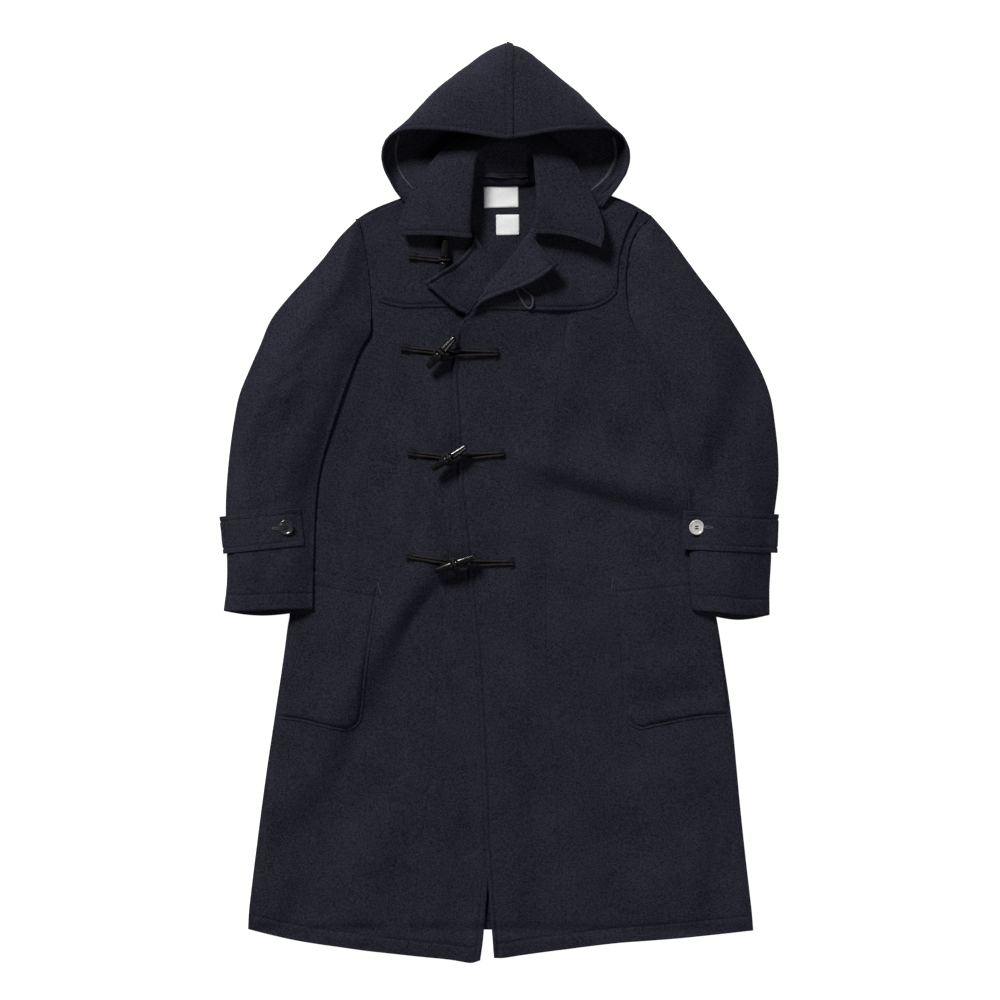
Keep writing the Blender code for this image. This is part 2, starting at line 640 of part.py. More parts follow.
def make_collar():
    """Stand from the neck seam to the roll line, and fall from there to the outer edge."""
    grid = []
    for seam, roll, edge, bow in COLLAR:
        seam = Vector(seam)
        roll = Vector(roll)
        edge = Vector(edge)
        to_seam = (seam - roll).normalized()
        to_edge = (edge - roll).normalized()
        near_seam = roll + to_seam * ROLL_ROUND - Vector((0, 0, ROLL_DIP))
        near_edge = roll + to_edge * ROLL_ROUND + Vector((0, 0, ROLL_DIP))
        turn = roll + (to_seam + to_edge) * 1.2
        row = [seam, seam.lerp(near_seam, 0.5), near_seam, turn, near_edge]
        for k in range(1, FALL_LENGTHWISE + 1):
            t = k / FALL_LENGTHWISE
            point = near_edge.lerp(edge, t)
            point.z += FALL_BULGE * math.sin(math.pi * t)
            point.y += bow * math.sin(math.pi * t)
            row.append(point)
        grid.append(row)
    middle_wall("collar", grid, DOUBLE)


def hood_path(rim, out, bowl, neck):
    """Rim, over the crown to the fold, round it and along the floor to the neck seam."""
    rim = Vector(rim)
    out = Vector(out)
    neck = Vector(neck)
    path = []
    for k in range(9):
        angle = math.pi / 2 * k / 8
        point = rim.lerp(out, math.sin(angle))
        point.z = out.z + (rim.z - out.z) * math.cos(angle) ** CROWN_FULLNESS
        reach = (out.xy - rim.xy).length
        point.z += CROWN_BULGE * math.sin(2 * angle) * min(reach / 100, 1.0)
        path.append(point)
    inward = (neck.xy - out.xy).normalized().to_3d()
    floor = CLOTH / 2
    for k in range(1, 7):
        angle = math.pi / 2 * k / 6
        point = out + inward * bowl * (1 - math.cos(angle))
        point.z = floor + (out.z - floor) * (1 - math.sin(angle))
        path.append(point)
    start = path[-1].copy()
    for k in range(1, 13):
        t = k / 12
        point = start.lerp(neck, t)
        point.z = floor + (neck.z - floor) * smooth((t - 0.5) * 2)
        path.append(point)
    return path


def make_hood(side, under):
    grid = []
    for rim, out, bowl, neck in HOOD[side]:
        row = evenly(hood_path(rim, out, bowl, neck), HOOD_POINTS)
        for point in row:
            over_body = rest_height(point.x, point.y, under)
            if over_body > 0:
                point.z = max(point.z, over_body + CLOTH * HOOD_LIFT)
        grid.append(row)
    middle_wall(side + "_hood", grid, CLOTH)


def make_sleeve(side, under):
    head = spline(ARMHOLE_HEAD[side], HEAD_ROWS)
    outer = spline(SLEEVE_OUTER[side], SLEEVE_ROWS)
    inner = spline(SLEEVE_INNER[side], SLEEVE_ROWS)
    cuff = spline(CUFF[side], 120)
    spread = [(1 - math.cos(math.pi * i / HEAD_ROWS)) / 2 for i in range(HEAD_ROWS + 1)]
    cuff = [cuff[round(120 * u)] for u in spread]
    plan = drawn_in(patch(head, cuff, outer, inner))
    longer = [[p.copy() for p in row] for row in plan]
    for i, u in enumerate(spread):
        longer[-1][i].y -= CUFF_UNDER_LONGER * math.sin(math.pi * u)
    low = laid(longer, under, eased, below=head[-1].y, margin=SLEEVE_MARGIN)
    floor = min(p.z for row in low for p in row)
    low = [[Vector((p.x, p.y, p.z - floor)) for p in row] for row in low]
    wall(side + "_sleeve_under", low, CLOTH)
    lean = upward(low)
    upper = []
    for j, row in enumerate(low):
        rise = SLEEVE_ARCH * smooth(j / SLEEVE_ROWS / ARMHOLE_FALL)
        lifted = []
        for i, p in enumerate(row):
            arch = rise * (4 * spread[i] * (1 - spread[i])) ** ARCH_FULLNESS
            at = plan[j][i]
            lifted.append(Vector((at.x, at.y, p.z + CLOTH / lean[j][i].z + SEAM + arch)))
        upper.append(lifted)
    wall(side + "_sleeve_upper", upper, CLOTH)


def make_strap(side):
    """A strip on the upper sleeve that turns down over the outer fold to the floor."""
    (bx, by), (ox, oy) = STRAP_MIDDLE[side]
    button_end = Vector((bx, by, 0))
    outer_end = Vector((ox, oy, 0))
    run = (outer_end - button_end).normalized()
    half = Vector((-run.y, run.x, 0)) * STRAP_WIDTH[side] / 2
    length = (outer_end - button_end).length
    names = [side + "_sleeve_upper"]
    grid = []
    stations = 11
    for k in range(stations + 1):
        t = k / stations
        row = []
        for w in range(5):
            at = button_end + run * (length * t) + half * (w / 2 - 1)
            z = rest_height(at.x, at.y, names, margin=STRAP_MARGIN)
            row.append(Vector((at.x, at.y, z)))
        grid.append(row)
    level = min(p.z for p in grid[-1])
    for k in range(1, 5):
        angle = math.pi / 2 * k / 4
        row = []
        for start in grid[stations]:
            at = start + run * STRAP_TURN * math.sin(angle)
            at.z = start.z - STRAP_TURN * (1 - math.cos(angle)) * min(level / STRAP_TURN, 1.0)
            row.append(at)
        grid.append(row)
    grid.append([Vector((p.x, p.y, 0.2)) for p in grid[-1]])
    flat = normals(grid)
    if flat[2][2].z < 0:
        flat = [[-n for n in row] for row in flat]
    over = [[p + n * CLOTH for p, n in zip(row, ns)] for row, ns in zip(grid, flat)]
    for low, high in zip(grid[-1], over[-1]):
        high.z = low.z
    solid(side + "_cuff_strap", grid, over, "wool", 0.92)


def turned(name, profile, turns, look, roughness, place):
    """A closed turned solid: profile points (distance along the axis, radius), placed by a matrix."""
    mesh = bpy.data.meshes.new(name)
    shape = bmesh.new()
    rings = []
    for along, radius in profile:
        ring = []
        for k in range(turns):
            angle = 2 * math.pi * k / turns
            point = Vector((along, radius * math.cos(angle), radius * math.sin(angle)))
            ring.append(shape.verts.new(metres(place(point))))
        rings.append(ring)
    for lower, upper in zip(rings, rings[1:]):
        for k in range(turns):
            n = (k + 1) % turns
            shape.faces.new((lower[k], lower[n], upper[n], upper[k]))
    shape.faces.new(rings[0])
    shape.faces.new(rings[-1])
    finish(name, shape, mesh, look, roughness)


def frame_of(angle, tilt):
    """Axis, sideways and up directions of a toggle turned in plan and tilted."""
    turn = math.radians(angle)
    rise = math.radians(tilt)
    axis = Vector((math.cos(turn) * math.cos(rise), math.sin(turn) * math.cos(rise), math.sin(rise)))
    side = Vector((-math.sin(turn), math.cos(turn), 0))
    return axis, side, axis.cross(side)


def make_toggle(number, waist, angle, height, tilt, length):
    axis, side, up = frame_of(angle, tilt)
    centre = Vector((*waist, height))
    half = [(share * length / 2, radius) for share, radius in TOGGLE_PROFILE]
    profile = [(-a, r) for a, r in reversed(half[1:])] + half
    turned("toggle_%d" % number, profile, 10, "horn", 0.3,
           lambda p: centre + axis * p.x + side * p.y + up * p.z)


def tube(name, points, look, roughness=0.8):
    """A round cord along a list of points."""
    curve = bpy.data.curves.new(name, "CURVE")
    curve.dimensions = "3D"
    curve.resolution_u = 1
    curve.render_resolution_u = 0
    curve.bevel_depth = CORD * MM
    curve.bevel_resolution = 1
    curve.use_fill_caps = True
    line = curve.splines.new("POLY")
    line.points.add(len(points) - 1)
    for slot, point in zip(line.points, points):
        slot.co = (*metres(point), 1.0)
    thing = bpy.data.objects.new(name, curve)
    thing.data.materials.append(material(look, roughness))
    bpy.context.scene.collection.objects.link(thing)


def cord_height(point, names):
    """Middle of a cord that lies on the named pieces."""
    return rest_height(point.x, point.y, names, margin=CORD_MARGIN, slope=CORD_SLOPE) + CORD


def make_toggle_cord(number, waist, angle, height, tilt, end, under_names):
    """Two strands from the sewn end, once round the toggle's waist."""
    axis, side, up = frame_of(angle, tilt)
    centre = Vector((*waist, height))
    sewn = Vector((*end, 0))
    run = (Vector((*waist, 0)) - sewn).normalized()
    apart = Vector((-run.y, run.x, 0)) * CORD_APART
    ring = TOGGLE_PROFILE[0][1] + 3 * SEAM + CORD
    if side.dot(apart) < 0:
        side = -side
    under = Vector((waist[0], waist[1], 0))
    stops = [sewn, sewn.lerp(under, 0.3), sewn.lerp(under, 0.6), under - run * 12, under - run * 5.5]
    out_strand = [at + apart for at in stops]
    back_strand = [at - apart for at in reversed(stops)]
    for point in out_strand + back_strand:
        point.z = cord_height(point, under_names)
    around = []
    for degrees in range(150, -151, -30):
        turn = math.radians(degrees)
        lean = axis * (-0.9 * degrees / 150)
        around.append(centre + side * (ring * math.sin(turn)) + up * (ring * math.cos(turn)) + lean)
    if around[5].z < centre.z:
        around = [centre * 2 - p for p in around][::-1]
    points = out_strand + around + back_strand
    tube("toggle_cord_%d" % number, spline(points, 27), "cord")


def make_loop(number, waist, end, names):
    """Two strands from the sewn end on the left front, wide open under the toggle."""
    sewn = Vector((*end, 0))
    middle = Vector((*waist, 0))
    run = (middle - sewn).normalized()
    across = Vector((-run.y, run.x, 0))
    level = max(cord_height(middle + run * k, names) for k in (-4, 0, 4, 8))
    high = level + 2 * CORD + SEAM
    half = [
        (sewn, CORD_APART, cord_height(sewn, names)),
        (sewn.lerp(middle, 0.3), CORD_APART + 0.4, cord_height(sewn.lerp(middle, 0.3), names)),
        (sewn.lerp(middle, 0.6), 3.6, max(cord_height(sewn.lerp(middle, 0.6), names), high - 1)),
        (middle - run * 6, 5.4, high),
        (middle + run * 3, LOOP_APART, high),
    ]
    points = []
    for at, apart, z in half:
        points.append(at + across * apart + Vector((0, 0, z)))
    bend = middle + run * 8.8
    points.append(bend + across * 3.4 + Vector((0, 0, high)))
    points.append(bend + run * 1.9 + Vector((0, 0, high)))
    points.append(bend - across * 3.4 + Vector((0, 0, high)))
    for at, apart, z in reversed(half):
        points.append(at - across * apart + Vector((0, 0, z)))
    tube("loop_%d" % number, spline(points, 24), "cord")


def make_top_loop(under):
    """The unfastened top loop, sewn below the lapel and lying on the left front."""
    points = []
    for x, y in TOP_LOOP:
        points.append(Vector((x, y, rest_height(x, y, under) + CORD)))
    tube("loop_0", spline(points, 18), "cord")


def make_button(side, look):
    """A disc with a raised rim and four holes."""
    x, y = BUTTON_AT[side]
    names = [side + "_cuff_strap"]
    reach = [(x + BUTTON_RADIUS * a, y + BUTTON_RADIUS * b) for a in (-0.7, 0, 0.7) for b in (-0.7, 0, 0.7)]
    level = max(top_of(rx, ry, names) for rx, ry in reach)
    centre = Vector((x, y, level))
    rim = BUTTON_RADIUS
    profile = [(0.0, rim - 1.6), (0.7, rim - 0.3), (BUTTON_THICK - 0.5, rim), (BUTTON_THICK, rim - 0.8),
               (BUTTON_THICK - 0.1, rim - 2.4), (BUTTON_THICK - 1.0, rim - 3.6)]
    name = side + "_cuff_button"
    turned(name, profile, 16, look, 0.25, lambda p: centre + Vector((p.y, p.z, p.x)))
    button = bpy.data.objects[name]
    for k in range(4):
        angle = math.pi / 4 + math.pi / 2 * k
        bpy.ops.mesh.primitive_cylinder_add(
            vertices=6, radius=BUTTON_HOLE * MM, depth=3 * BUTTON_THICK * MM,
            location=metres(centre + Vector((math.cos(angle), math.sin(angle), 0)) * BUTTON_HOLES_OUT))
        drill = bpy.context.object
        drill.name = "%s_hole_%d" % (name, k)
        drill.hide_render = True
        drill.display_type = "WIRE"
        cut = button.modifiers.new("hole_%d" % k, "BOOLEAN")
        cut.operation = "DIFFERENCE"
        cut.solver = "EXACT"
        cut.object = drill


def make_flat(name, centre, size, thick, names, look):
    """A small flat piece laid on others."""
    cx, cy = centre
    width, height = size
    grid = []
    for j in range(3):
        y = cy + height * (0.5 - j / 2)
        row = []
        for i in range(4):
            x = cx + width * (i / 3 - 0.5)
            row.append(Vector((x, y, 0)))
        grid.append(row)
    levels = [max(top_of(p.x, p.y, names) for p in row) for row in grid]
    for row, level in zip(grid, levels):
        for p in row:
            p.z = level
    wall(name, grid, thick, look, 0.7)


def make_coat():
    make_back()
    make_front("right", ["back"])
    make_yoke("right")
    make_pocket("right")
    number = 0
    waist, angle, height, tilt, length, cord_end, loop_end = TOGGLES[number]
    make_toggle(number, waist, angle, height, tilt, length)
    make_toggle_cord(number, waist, angle, height, tilt, cord_end, ["right_yoke"])
    make_lapel("right", ["right_front_centre", "right_front_side", "right_yoke"], right_lapel_lift, ["toggle_0"])
    right = ["back", "right_front_centre", "right_yoke", "right_lapel"]
    make_front("left", right)
    make_yoke("left")
    make_pocket("left")
    left = ["left_front_centre", "left_front_side", "left_yoke"]
    make_top_loop(left)
    make_lapel("left", left, left_lapel_lift)
    for side in ("right", "left"):
        body = ["back", side + "_front_side", side + "_front_centre"]
        make_sleeve(side, body + [side + "_pocket"])
        make_strap(side)
        make_hood(side, body + [side + "_yoke", "right_front_centre"])
    make_collar()
    for number, row in enumerate(TOGGLES):
        waist, angle, height, tilt, length, cord_end, loop_end = row
        if loop_end is None:
            continue
        right = ["right_front_centre", "right_front_side"]
        make_toggle(number, waist, angle, height, tilt, length)
        make_toggle_cord(number, waist, angle, height, tilt, cord_end, right)
        make_loop(number, waist, loop_end, right + ["left_front_centre"])
    make_button("right", "button_dark")
    make_button("left", "button_light")
    for name, (centre, size) in LABELS.items():
        make_flat(name, centre, size, LABEL, ["back"], "label")
    centre, size = HANGER
    make_flat("hanger_loop", centre, size, 1.2, ["back", "collar"], "tape")


clear_scene()
make_coat()
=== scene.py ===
import math

import bmesh
import bpy
import numpy as np
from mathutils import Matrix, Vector
from mathutils.bvhtree import BVHTree
from mathutils.geometry import delaunay_2d_cdt


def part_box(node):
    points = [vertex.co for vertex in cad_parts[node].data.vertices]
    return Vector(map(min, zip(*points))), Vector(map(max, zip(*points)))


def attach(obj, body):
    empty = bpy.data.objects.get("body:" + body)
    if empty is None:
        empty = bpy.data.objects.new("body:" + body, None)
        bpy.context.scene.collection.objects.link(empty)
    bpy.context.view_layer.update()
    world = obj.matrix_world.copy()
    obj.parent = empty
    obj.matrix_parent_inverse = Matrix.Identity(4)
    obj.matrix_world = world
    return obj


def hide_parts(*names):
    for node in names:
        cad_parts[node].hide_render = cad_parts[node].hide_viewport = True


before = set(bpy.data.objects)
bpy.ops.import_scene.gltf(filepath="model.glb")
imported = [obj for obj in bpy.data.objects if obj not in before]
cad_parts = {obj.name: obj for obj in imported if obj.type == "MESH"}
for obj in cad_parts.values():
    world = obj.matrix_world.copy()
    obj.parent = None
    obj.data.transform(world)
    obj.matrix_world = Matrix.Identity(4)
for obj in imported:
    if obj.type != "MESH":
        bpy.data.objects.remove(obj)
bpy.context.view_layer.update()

# A navy melton duffle coat laid flat on its back. Lengths here are millimetres in the coat's own tables,
# as in its solids; MIDDLE and MM take them to the scene.
MM = 0.001
MIDDLE = np.array((0.3, 0.8, 0.0))
DOWN = Vector((0, 0, -1))

CLOTH = 2.8            # thickness of one layer of melton
DOUBLE = 4.2           # and of two pressed layers: collar and lapels
SEAM = 0.3             # gap between solids that are sewn together
EDGE_MARGIN = 12.0     # how far soft cloth bridges level past an edge below it, and the slope after that
EDGE_SLOPE = 0.30
STRAP_MARGIN = 8.0     # the margin for a cuff strap
CORD_MARGIN = 6.0      # the margin and the slope for a cord
CORD_SLOPE = 0.5
RING_STEP = 7.0        # distance between the rings on which the cloth below is felt, and their number
RINGS_OUT = 5
CLOSED = 0.145         # how far each cloth reaches into the gap at a seam

GRAIN = 4.0            # spacing of the points of a cloth's face
BACK_GRAIN = 16.0      # and of its underside
RIM = 1.15             # radius of a cloth edge
PAST_RIM = 1.6         # a row of points beside the rim, inside it
THREAD = 0.40          # half the width of a stitch
PITCH = 4.2            # stitch length with its gap
GROOVE = 1.2           # depth that stitches pull into the cloth
GROOVE_WIDE = 1.5
LEAST = 0.05           # no cloth is lower than this over the floor
ABOVE = 900.0          # a height over everything, where measuring rays start

rng = np.random.default_rng(11)        # its draws are made in the order of this file


# ---- curves and small geometry

def unit(v):
    """Vectors along the last axis, each at length one."""
    return v / np.maximum(np.linalg.norm(v, axis=-1, keepdims=True), 1e-9)


def distances(path):
    """How far along a path each of its points lies."""
    return np.concatenate([[0], np.cumsum(np.linalg.norm(np.diff(path, axis=0), axis=1))])


def sample(path, at, values=None):
    """Places at given distances along a path, or what else is kept at its points."""
    lengths = distances(path)
    values = path if values is None else values
    return np.stack([np.interp(at, lengths, values[:, k]) for k in range(3)], axis=1)


def curve(points, step=None, count=None):
    """Points along a smooth curve through the given ones, at equal distances."""
    p = np.array([tuple(q) + (0.0,) * (3 - len(q)) for q in points], float)
    ends = np.vstack([2 * p[0] - p[1], p, 2 * p[-1] - p[-2]])
    fine = []
    t = np.linspace(0, 1, 17)[:-1, None]
    for before, start, end, after in zip(ends, ends[1:], ends[2:], ends[3:]):
        span = max(np.linalg.norm(end - start), 1e-6)
        lean_in = (end - before) * (span / (span + np.linalg.norm(start - before)))
        lean_out = (after - start) * (span / (span + np.linalg.norm(after - end)))
        fine.append(start * (2 * t**3 - 3 * t**2 + 1) + lean_in * (t**3 - 2 * t**2 + t)
                    + end * (3 * t**2 - 2 * t**3) + lean_out * (t**3 - t**2))
    fine.append(p[-1:])
    return along(np.vstack(fine), step, count)


def along(path, step=None, count=None):
    """The same polyline with its points at equal distances."""
    total = distances(path)[-1]
    if count is None:
        count = max(int(round(total / step)), 1)
    return sample(path, np.linspace(0, total, count + 1))


def moved(line, by):
    """A plan line moved to its left, which is inwards for an anticlockwise border."""
    ahead = unit(np.gradient(line[:, :2], axis=0))
    result = line.copy()
    result[:, :2] += np.stack([-ahead[:, 1], ahead[:, 0]], axis=1) * by
    return result


def distance_to(points, line, closed=False):
    """Distance in plan from each point to a polyline, and the nearest place on it as (segment, share)."""
    a = line[:, :2] if closed else line[:-1, :2]
    b = np.roll(line[:, :2], -1, axis=0) if closed else line[1:, :2]
    ab = b - a
    long = np.maximum((ab**2).sum(1), 1e-12)
    best = np.empty(len(points))
    place = np.empty(len(points), int)
    share = np.empty(len(points))
    for first in range(0, len(points), 3000):
        p = points[first:first + 3000, None, :2]
        t = np.clip(((p - a) * ab).sum(2) / long, 0, 1)
        d = ((a + ab * t[..., None] - p)**2).sum(2)
        k = d.argmin(1)
        rows = np.arange(len(k))
        best[first:first + 3000] = np.sqrt(d[rows, k])
        place[first:first + 3000] = k
        share[first:first + 3000] = t[rows, k]
    return best, place, share


def inside(points, outline):
    """Which points lie inside a closed outline, in plan."""
    x1, y1 = outline[:, 0], outline[:, 1]
    x2, y2 = np.roll(x1, -1), np.roll(y1, -1)
    result = np.zeros(len(points), bool)
    for first in range(0, len(points), 3000):
        x = points[first:first + 3000, 0, None]
        y = points[first:first + 3000, 1, None]
        spans = (y1 > y) != (y2 > y)
        with np.errstate(divide="ignore", invalid="ignore"):
            cut = x1 + (y - y1) / (y2 - y1) * (x2 - x1)
        result[first:first + 3000] = (np.sum(spans & (x < cut), axis=1) % 2) == 1
    return result


def within(points, ring, margin):
    """The points that lie inside a closed outline by more than a margin."""
    points = points[inside(points, ring)]
    return points[distance_to(points, ring, closed=True)[0] > margin]


def smooth(t):
    t = np.clip(t, 0, 1)
    return t * t * (3 - 2 * t)


def fall(face, x, y):
    """The height at which a straight fall from above meets a face in table millimetres, or None."""
    hit = face.ray_cast(Vector((x, y, ABOVE)), DOWN)[0]
    return None if hit is None else hit.z


def beside(way):
    """The direction to the left of another one, in plan."""
    return Vector((-way.y, way.x, 0))


def highest(heights, otherwise=None):
    """The largest height that isn't None."""
    return max([h for h in heights if h is not None], default=otherwise)


# ---- the solids underneath

welded = {}
trees = {}


def weld(name):
    """A solid's welded mesh, in table millimetres."""
    if name not in welded:
        shape = bmesh.new()
        shape.from_mesh(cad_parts[name].data)
        bmesh.ops.remove_doubles(shape, verts=shape.verts, dist=1e-6)
        for vert in shape.verts:
            vert.co = Vector(np.array(vert.co) / MM - MIDDLE)
        shape.normal_update()
        welded[name] = shape
    return welded[name]


def tree(name):
    if name not in trees:
        trees[name] = BVHTree.FromBMesh(weld(name))
    return trees[name]


def top_of(x, y, names):
    """Where something soft lies on the named solids there, or zero beside them."""
    return highest((fall(tree(name), x, y) for name in names), -SEAM) + SEAM


def rest_height(x, y, names, margin=EDGE_MARGIN, slope=EDGE_SLOPE):
    """Height of something soft that lies over the named solids and bends down off their edges."""
    best = top_of(x, y, names)
    near = [(margin * k / 3, 12) for k in (1, 2, 3)]
    far = [(margin + RING_STEP * k, 20) for k in range(1, RINGS_OUT + 1)]
    for radius, count in near + far:
        drop = slope * max(radius - margin, 0.0)
        for k in range(count):
            angle = 2 * math.pi * k / count
            at = top_of(x + radius * math.cos(angle), y + radius * math.sin(angle), names)
            best = max(best, at - drop)
    return best


def outline_of(name):
    """The border of a solid's upper face as smooth arcs between its corners, counter-clockwise."""
    shape = weld(name)
    tops = [f for f in shape.faces if f.normal.z > 0.01]
    is_top = set(f.index for f in tops)
    follow = {}
    for face in tops:
        for loop in face.loops:
            others = [f for f in loop.edge.link_faces if f != face and f.index in is_top]
            if not others:
                follow[loop.vert] = loop.link_loop_next.vert
    loops = []
    while follow:
        at = next(iter(follow))
        ring = []
        while at in follow:
            ring.append(at)
            at = follow.pop(at)
        loops.append(ring)
    p = np.array([v.co[:] for v in max(loops, key=len)])
    before = p[:, :2] - np.roll(p[:, :2], 1, axis=0)
    after = np.roll(p[:, :2], -1, axis=0) - p[:, :2]
    turn = np.degrees(np.abs(np.arctan2(before[:, 0] * after[:, 1] - before[:, 1] * after[:, 0],
                                        (before * after).sum(1))))
    corners = [k for k in range(len(p)) if turn[k] > 42]
    p = np.roll(p, -corners[0], axis=0)
    cuts = [c - corners[0] for c in corners] + [len(p)]
    p = np.vstack([p, p[:1]])
    return [p[a:b + 1] for a, b in zip(cuts, cuts[1:])]


def arcs_of(name, step=3.0):
    return [curve(arc, step=step) for arc in outline_of(name)]


def nearest(arcs, x, y):
    return min(arcs, key=lambda arc: distance_to(np.array([[x, y]]), arc)[0][0])


# ---- relief of laid cloth

# Folds and creases of the body. Columns: x, y of the middle, length, half width, direction in degrees,
# height (troughs are negative), bend: how far the ends of the crease curl to one side
BODY_FOLDS = [
    (-184, 175, 270, 22, 76, -4.0, 4),
    (-228, -20, 290, 22, 83, -4.5, 4),
    (150, 6, 250, 20, -17, -3.4, 12),
    (205, -14, 170, 35, -20, -2.2, 0),
    (150, 40, 200, 35, -14, 1.8, 10),
    (-150, -205, 260, 19, 57, -3.4, -16),
    (-205, -300, 150, 27, 68, -2.4, 0),
    (-262, -410, 190, 40, 60, -3.0, 10),
    (-180, -185, 220, 32, 60, 1.8, -10),
    (-232, -430, 240, 46, 66, 1.6, 0),
    (-118, -30, 130, 14, 80, -2.4, 6),
    (-104, -24, 120, 16, 80, 1.2, 6),
    (-165, 130, 240, 18, 99, -2.6, 14),
    (-140, 20, 150, 22, 112, -1.8, -8),
    (-196, -20, 180, 22, 84, -1.6, 10),
    (265, -286, 130, 12, 11, -1.8, 4),
    (108, 330, 100, 9, 92, 1.1, 0),
    (45, -470, 260, 24, 92, -1.8, 12),
    (150, -330, 300, 40, 96, -1.6, 10),
    (215, -470, 260, 35, 102, -1.6, -12),
    (315, -520, 160, 24, 84, -2.6, 6),
    (110, -180, 240, 30, 86, 1.3, 8),
    (214, 218, 110, 10, -66, -6.0, 6),
    (150, 150, 150, 22, 62, -2.2, 8),
    (205, 90, 130, 19, 72, -2.0, -6),
    (-60, -560, 170, 27, 88, -1.6, 6),
    (-150, -520, 230, 35, 80, -1.5, -10),
    (-300, -560, 130, 19, 96, -2.0, 4),
    (20, 110, 130, 22, 78, -1.4, 6),
    (30, -300, 210, 27, 84, 1.0, -8),
]
SLEEVE_FOLDS = [
    (214, 218, 110, 10, -66, -6.0, 6),
    (-330, 150, 190, 11, 68, -2.6, 10),
    (-300, 190, 110, 9, 40, -2.0, 6),
    (-350, 60, 170, 12, 84, -2.2, -8),
    (-300, 40, 150, 10, 74, -2.0, 8),
    (-330, 0, 90, 8, 22, -1.6, 4),
    (-270, 250, 120, 10, 50, -1.8, 6),
    (-345, -105, 90, 12, 80, -1.2, 4),
    (-240, 320, 120, 12, 48, 1.3, 6),
    (215, 219, 100, 8, -66, -3.2, 6),
    (280, 130, 90, 9, -62, -2.6, 6),
    (318, 60, 130, 9, -76, -2.8, 8),
    (345, 130, 150, 13, -72, -1.8, -8),
    (265, 300, 110, 12, -52, -1.6, 6),
    (350, 10, 110, 12, -88, -1.6, 4),
    (300, 10, 80, 7, -20, -1.4, 3),
    (330, -100, 90, 12, -84, -1.2, 4),
    (300, 225, 120, 12, -55, 1.3, 6),
]
# A fold that is high on the left of its direction and low on its right. Columns as above
BODY_STEPS = [
    (182, 2, 300, 42, -14, 9.5, 8),
    (250, -40, 170, 50, -14, 4.0, 0),
    (-112, -150, 190, 30, 52, 6.6, -10),
    (-172, -270, 260, 50, 62, 8.6, -8),
    (-262, -420, 240, 54, 58, 6.6, 10),
    (-300, -560, 150, 34, 70, 3.2, 0),
    (-100, -14, 150, 22, 113, 4.6, 6),
    (-70, 150, 150, 24, 96, 2.2, 4),
    (-160, 175, 270, 34, 76, 2.6, 4),
    (-205, -20, 290, 34, 83, 2.8, 4),
    (120, 205, 170, 34, 80, 2.4, 8),
    (245, -262, 130, 26, 14, 1.5, 4),
    (45, -470, 300, 34, 92, 3.4, 12),
    (150, -400, 320, 48, 98, 2.4, 10),
    (305, -540, 180, 32, 84, 3.2, 6),
    (-70, -540, 210, 30, 84, 2.4, 6),
    (-170, -560, 200, 38, 82, 2.0, -10),
    (235, -150, 220, 38, 100, 2.0, 8),
    (60, -60, 240, 36, 84, 2.0, 6),
    (150, 110, 170, 36, -40, 2.4, 8),
]
SLEEVE_STEPS = [
    (-300, 175, 240, 30, 62, 3.4, 8),
    (-345, 40, 230, 28, 82, 3.2, -6),
    (-300, 10, 180, 24, 70, 3.0, 6),
    (-255, 275, 160, 26, 55, 2.6, 6),
    (216, 216, 120, 11, -64, 4.0, 5),
    (316, 110, 260, 34, 72, 6.6, 10),
    (352, 150, 180, 28, 104, 3.2, 8),
    (284, 160, 150, 22, -60, 3.0, 6),
    (250, 300, 160, 28, -52, 3.0, 8),
    (300, -5, 120, 20, 60, 3.0, 5),
]
WAVES = [(rng.uniform(0, 2 * math.pi), rng.uniform(70, 150), rng.uniform(0, 6.3), 0.10) for _ in range(10)]
LUMPS = [(rng.uniform(0, 2 * math.pi), rng.uniform(14, 34), rng.uniform(0, 6.3), 0.035) for _ in range(18)]


def creases(x, y, table):
    """For each row: how far along and across it the points lie, and its half width and height."""
    for fx, fy, length, wide, degrees, height, bend in table:
        c, s = math.cos(math.radians(degrees)), math.sin(math.radians(degrees))
        share = 2 * (c * (x - fx) + s * (y - fy)) / length
        across = -s * (x - fx) + c * (y - fy) - bend * (share**2 - 0.3)
        yield share, across, wide, height


def folds(x, y, table):
    total = np.zeros_like(x)
    for share, across, wide, height in creases(x, y, table):
        span = np.maximum(wide * (1 + 0.35 * share), 3)
        total += height * np.exp(-np.abs(share)**2.6 - (across / span)**2)
    return total


def steps(x, y, table):
    total = np.zeros_like(x)
    for share, across, wide, height in creases(x, y, table):
        across = across / (wide * (1 + 0.25 * share).clip(0.4))
        total += height * 2.33 * across * np.exp(-np.abs(share)**2.4 - across**2)
    return total


def waves(x, y, table):
    total = np.zeros_like(x)
    for turn, span, phase, height in table:
        total += height * np.sin((x * math.cos(turn) + y * math.sin(turn)) * 2 * math.pi / span + phase)
    return total


def relief_of(air, fold_table, step_table):
    """How far cloth rises at each place: air under the coat's lower part, folds, steps and small waves."""
    def relief(x, y):
        return (air * smooth((350 - y) / 60) + folds(x, y, fold_table) + steps(x, y, step_table)
                + 1.6 * waves(x, y, WAVES) + waves(x, y, LUMPS))

    return relief


body_relief = relief_of(3.0, BODY_FOLDS, BODY_STEPS)       # shared by all layers, so that they move together
sleeve_relief = relief_of(0.0, SLEEVE_FOLDS, SLEEVE_STEPS)


def even_relief(x, y):
    return waves(x, y, LUMPS)


# ---- meshes

def add(name, data):
    thing = bpy.data.objects.new(name, data)
    bpy.context.scene.collection.objects.link(thing)
    return thing


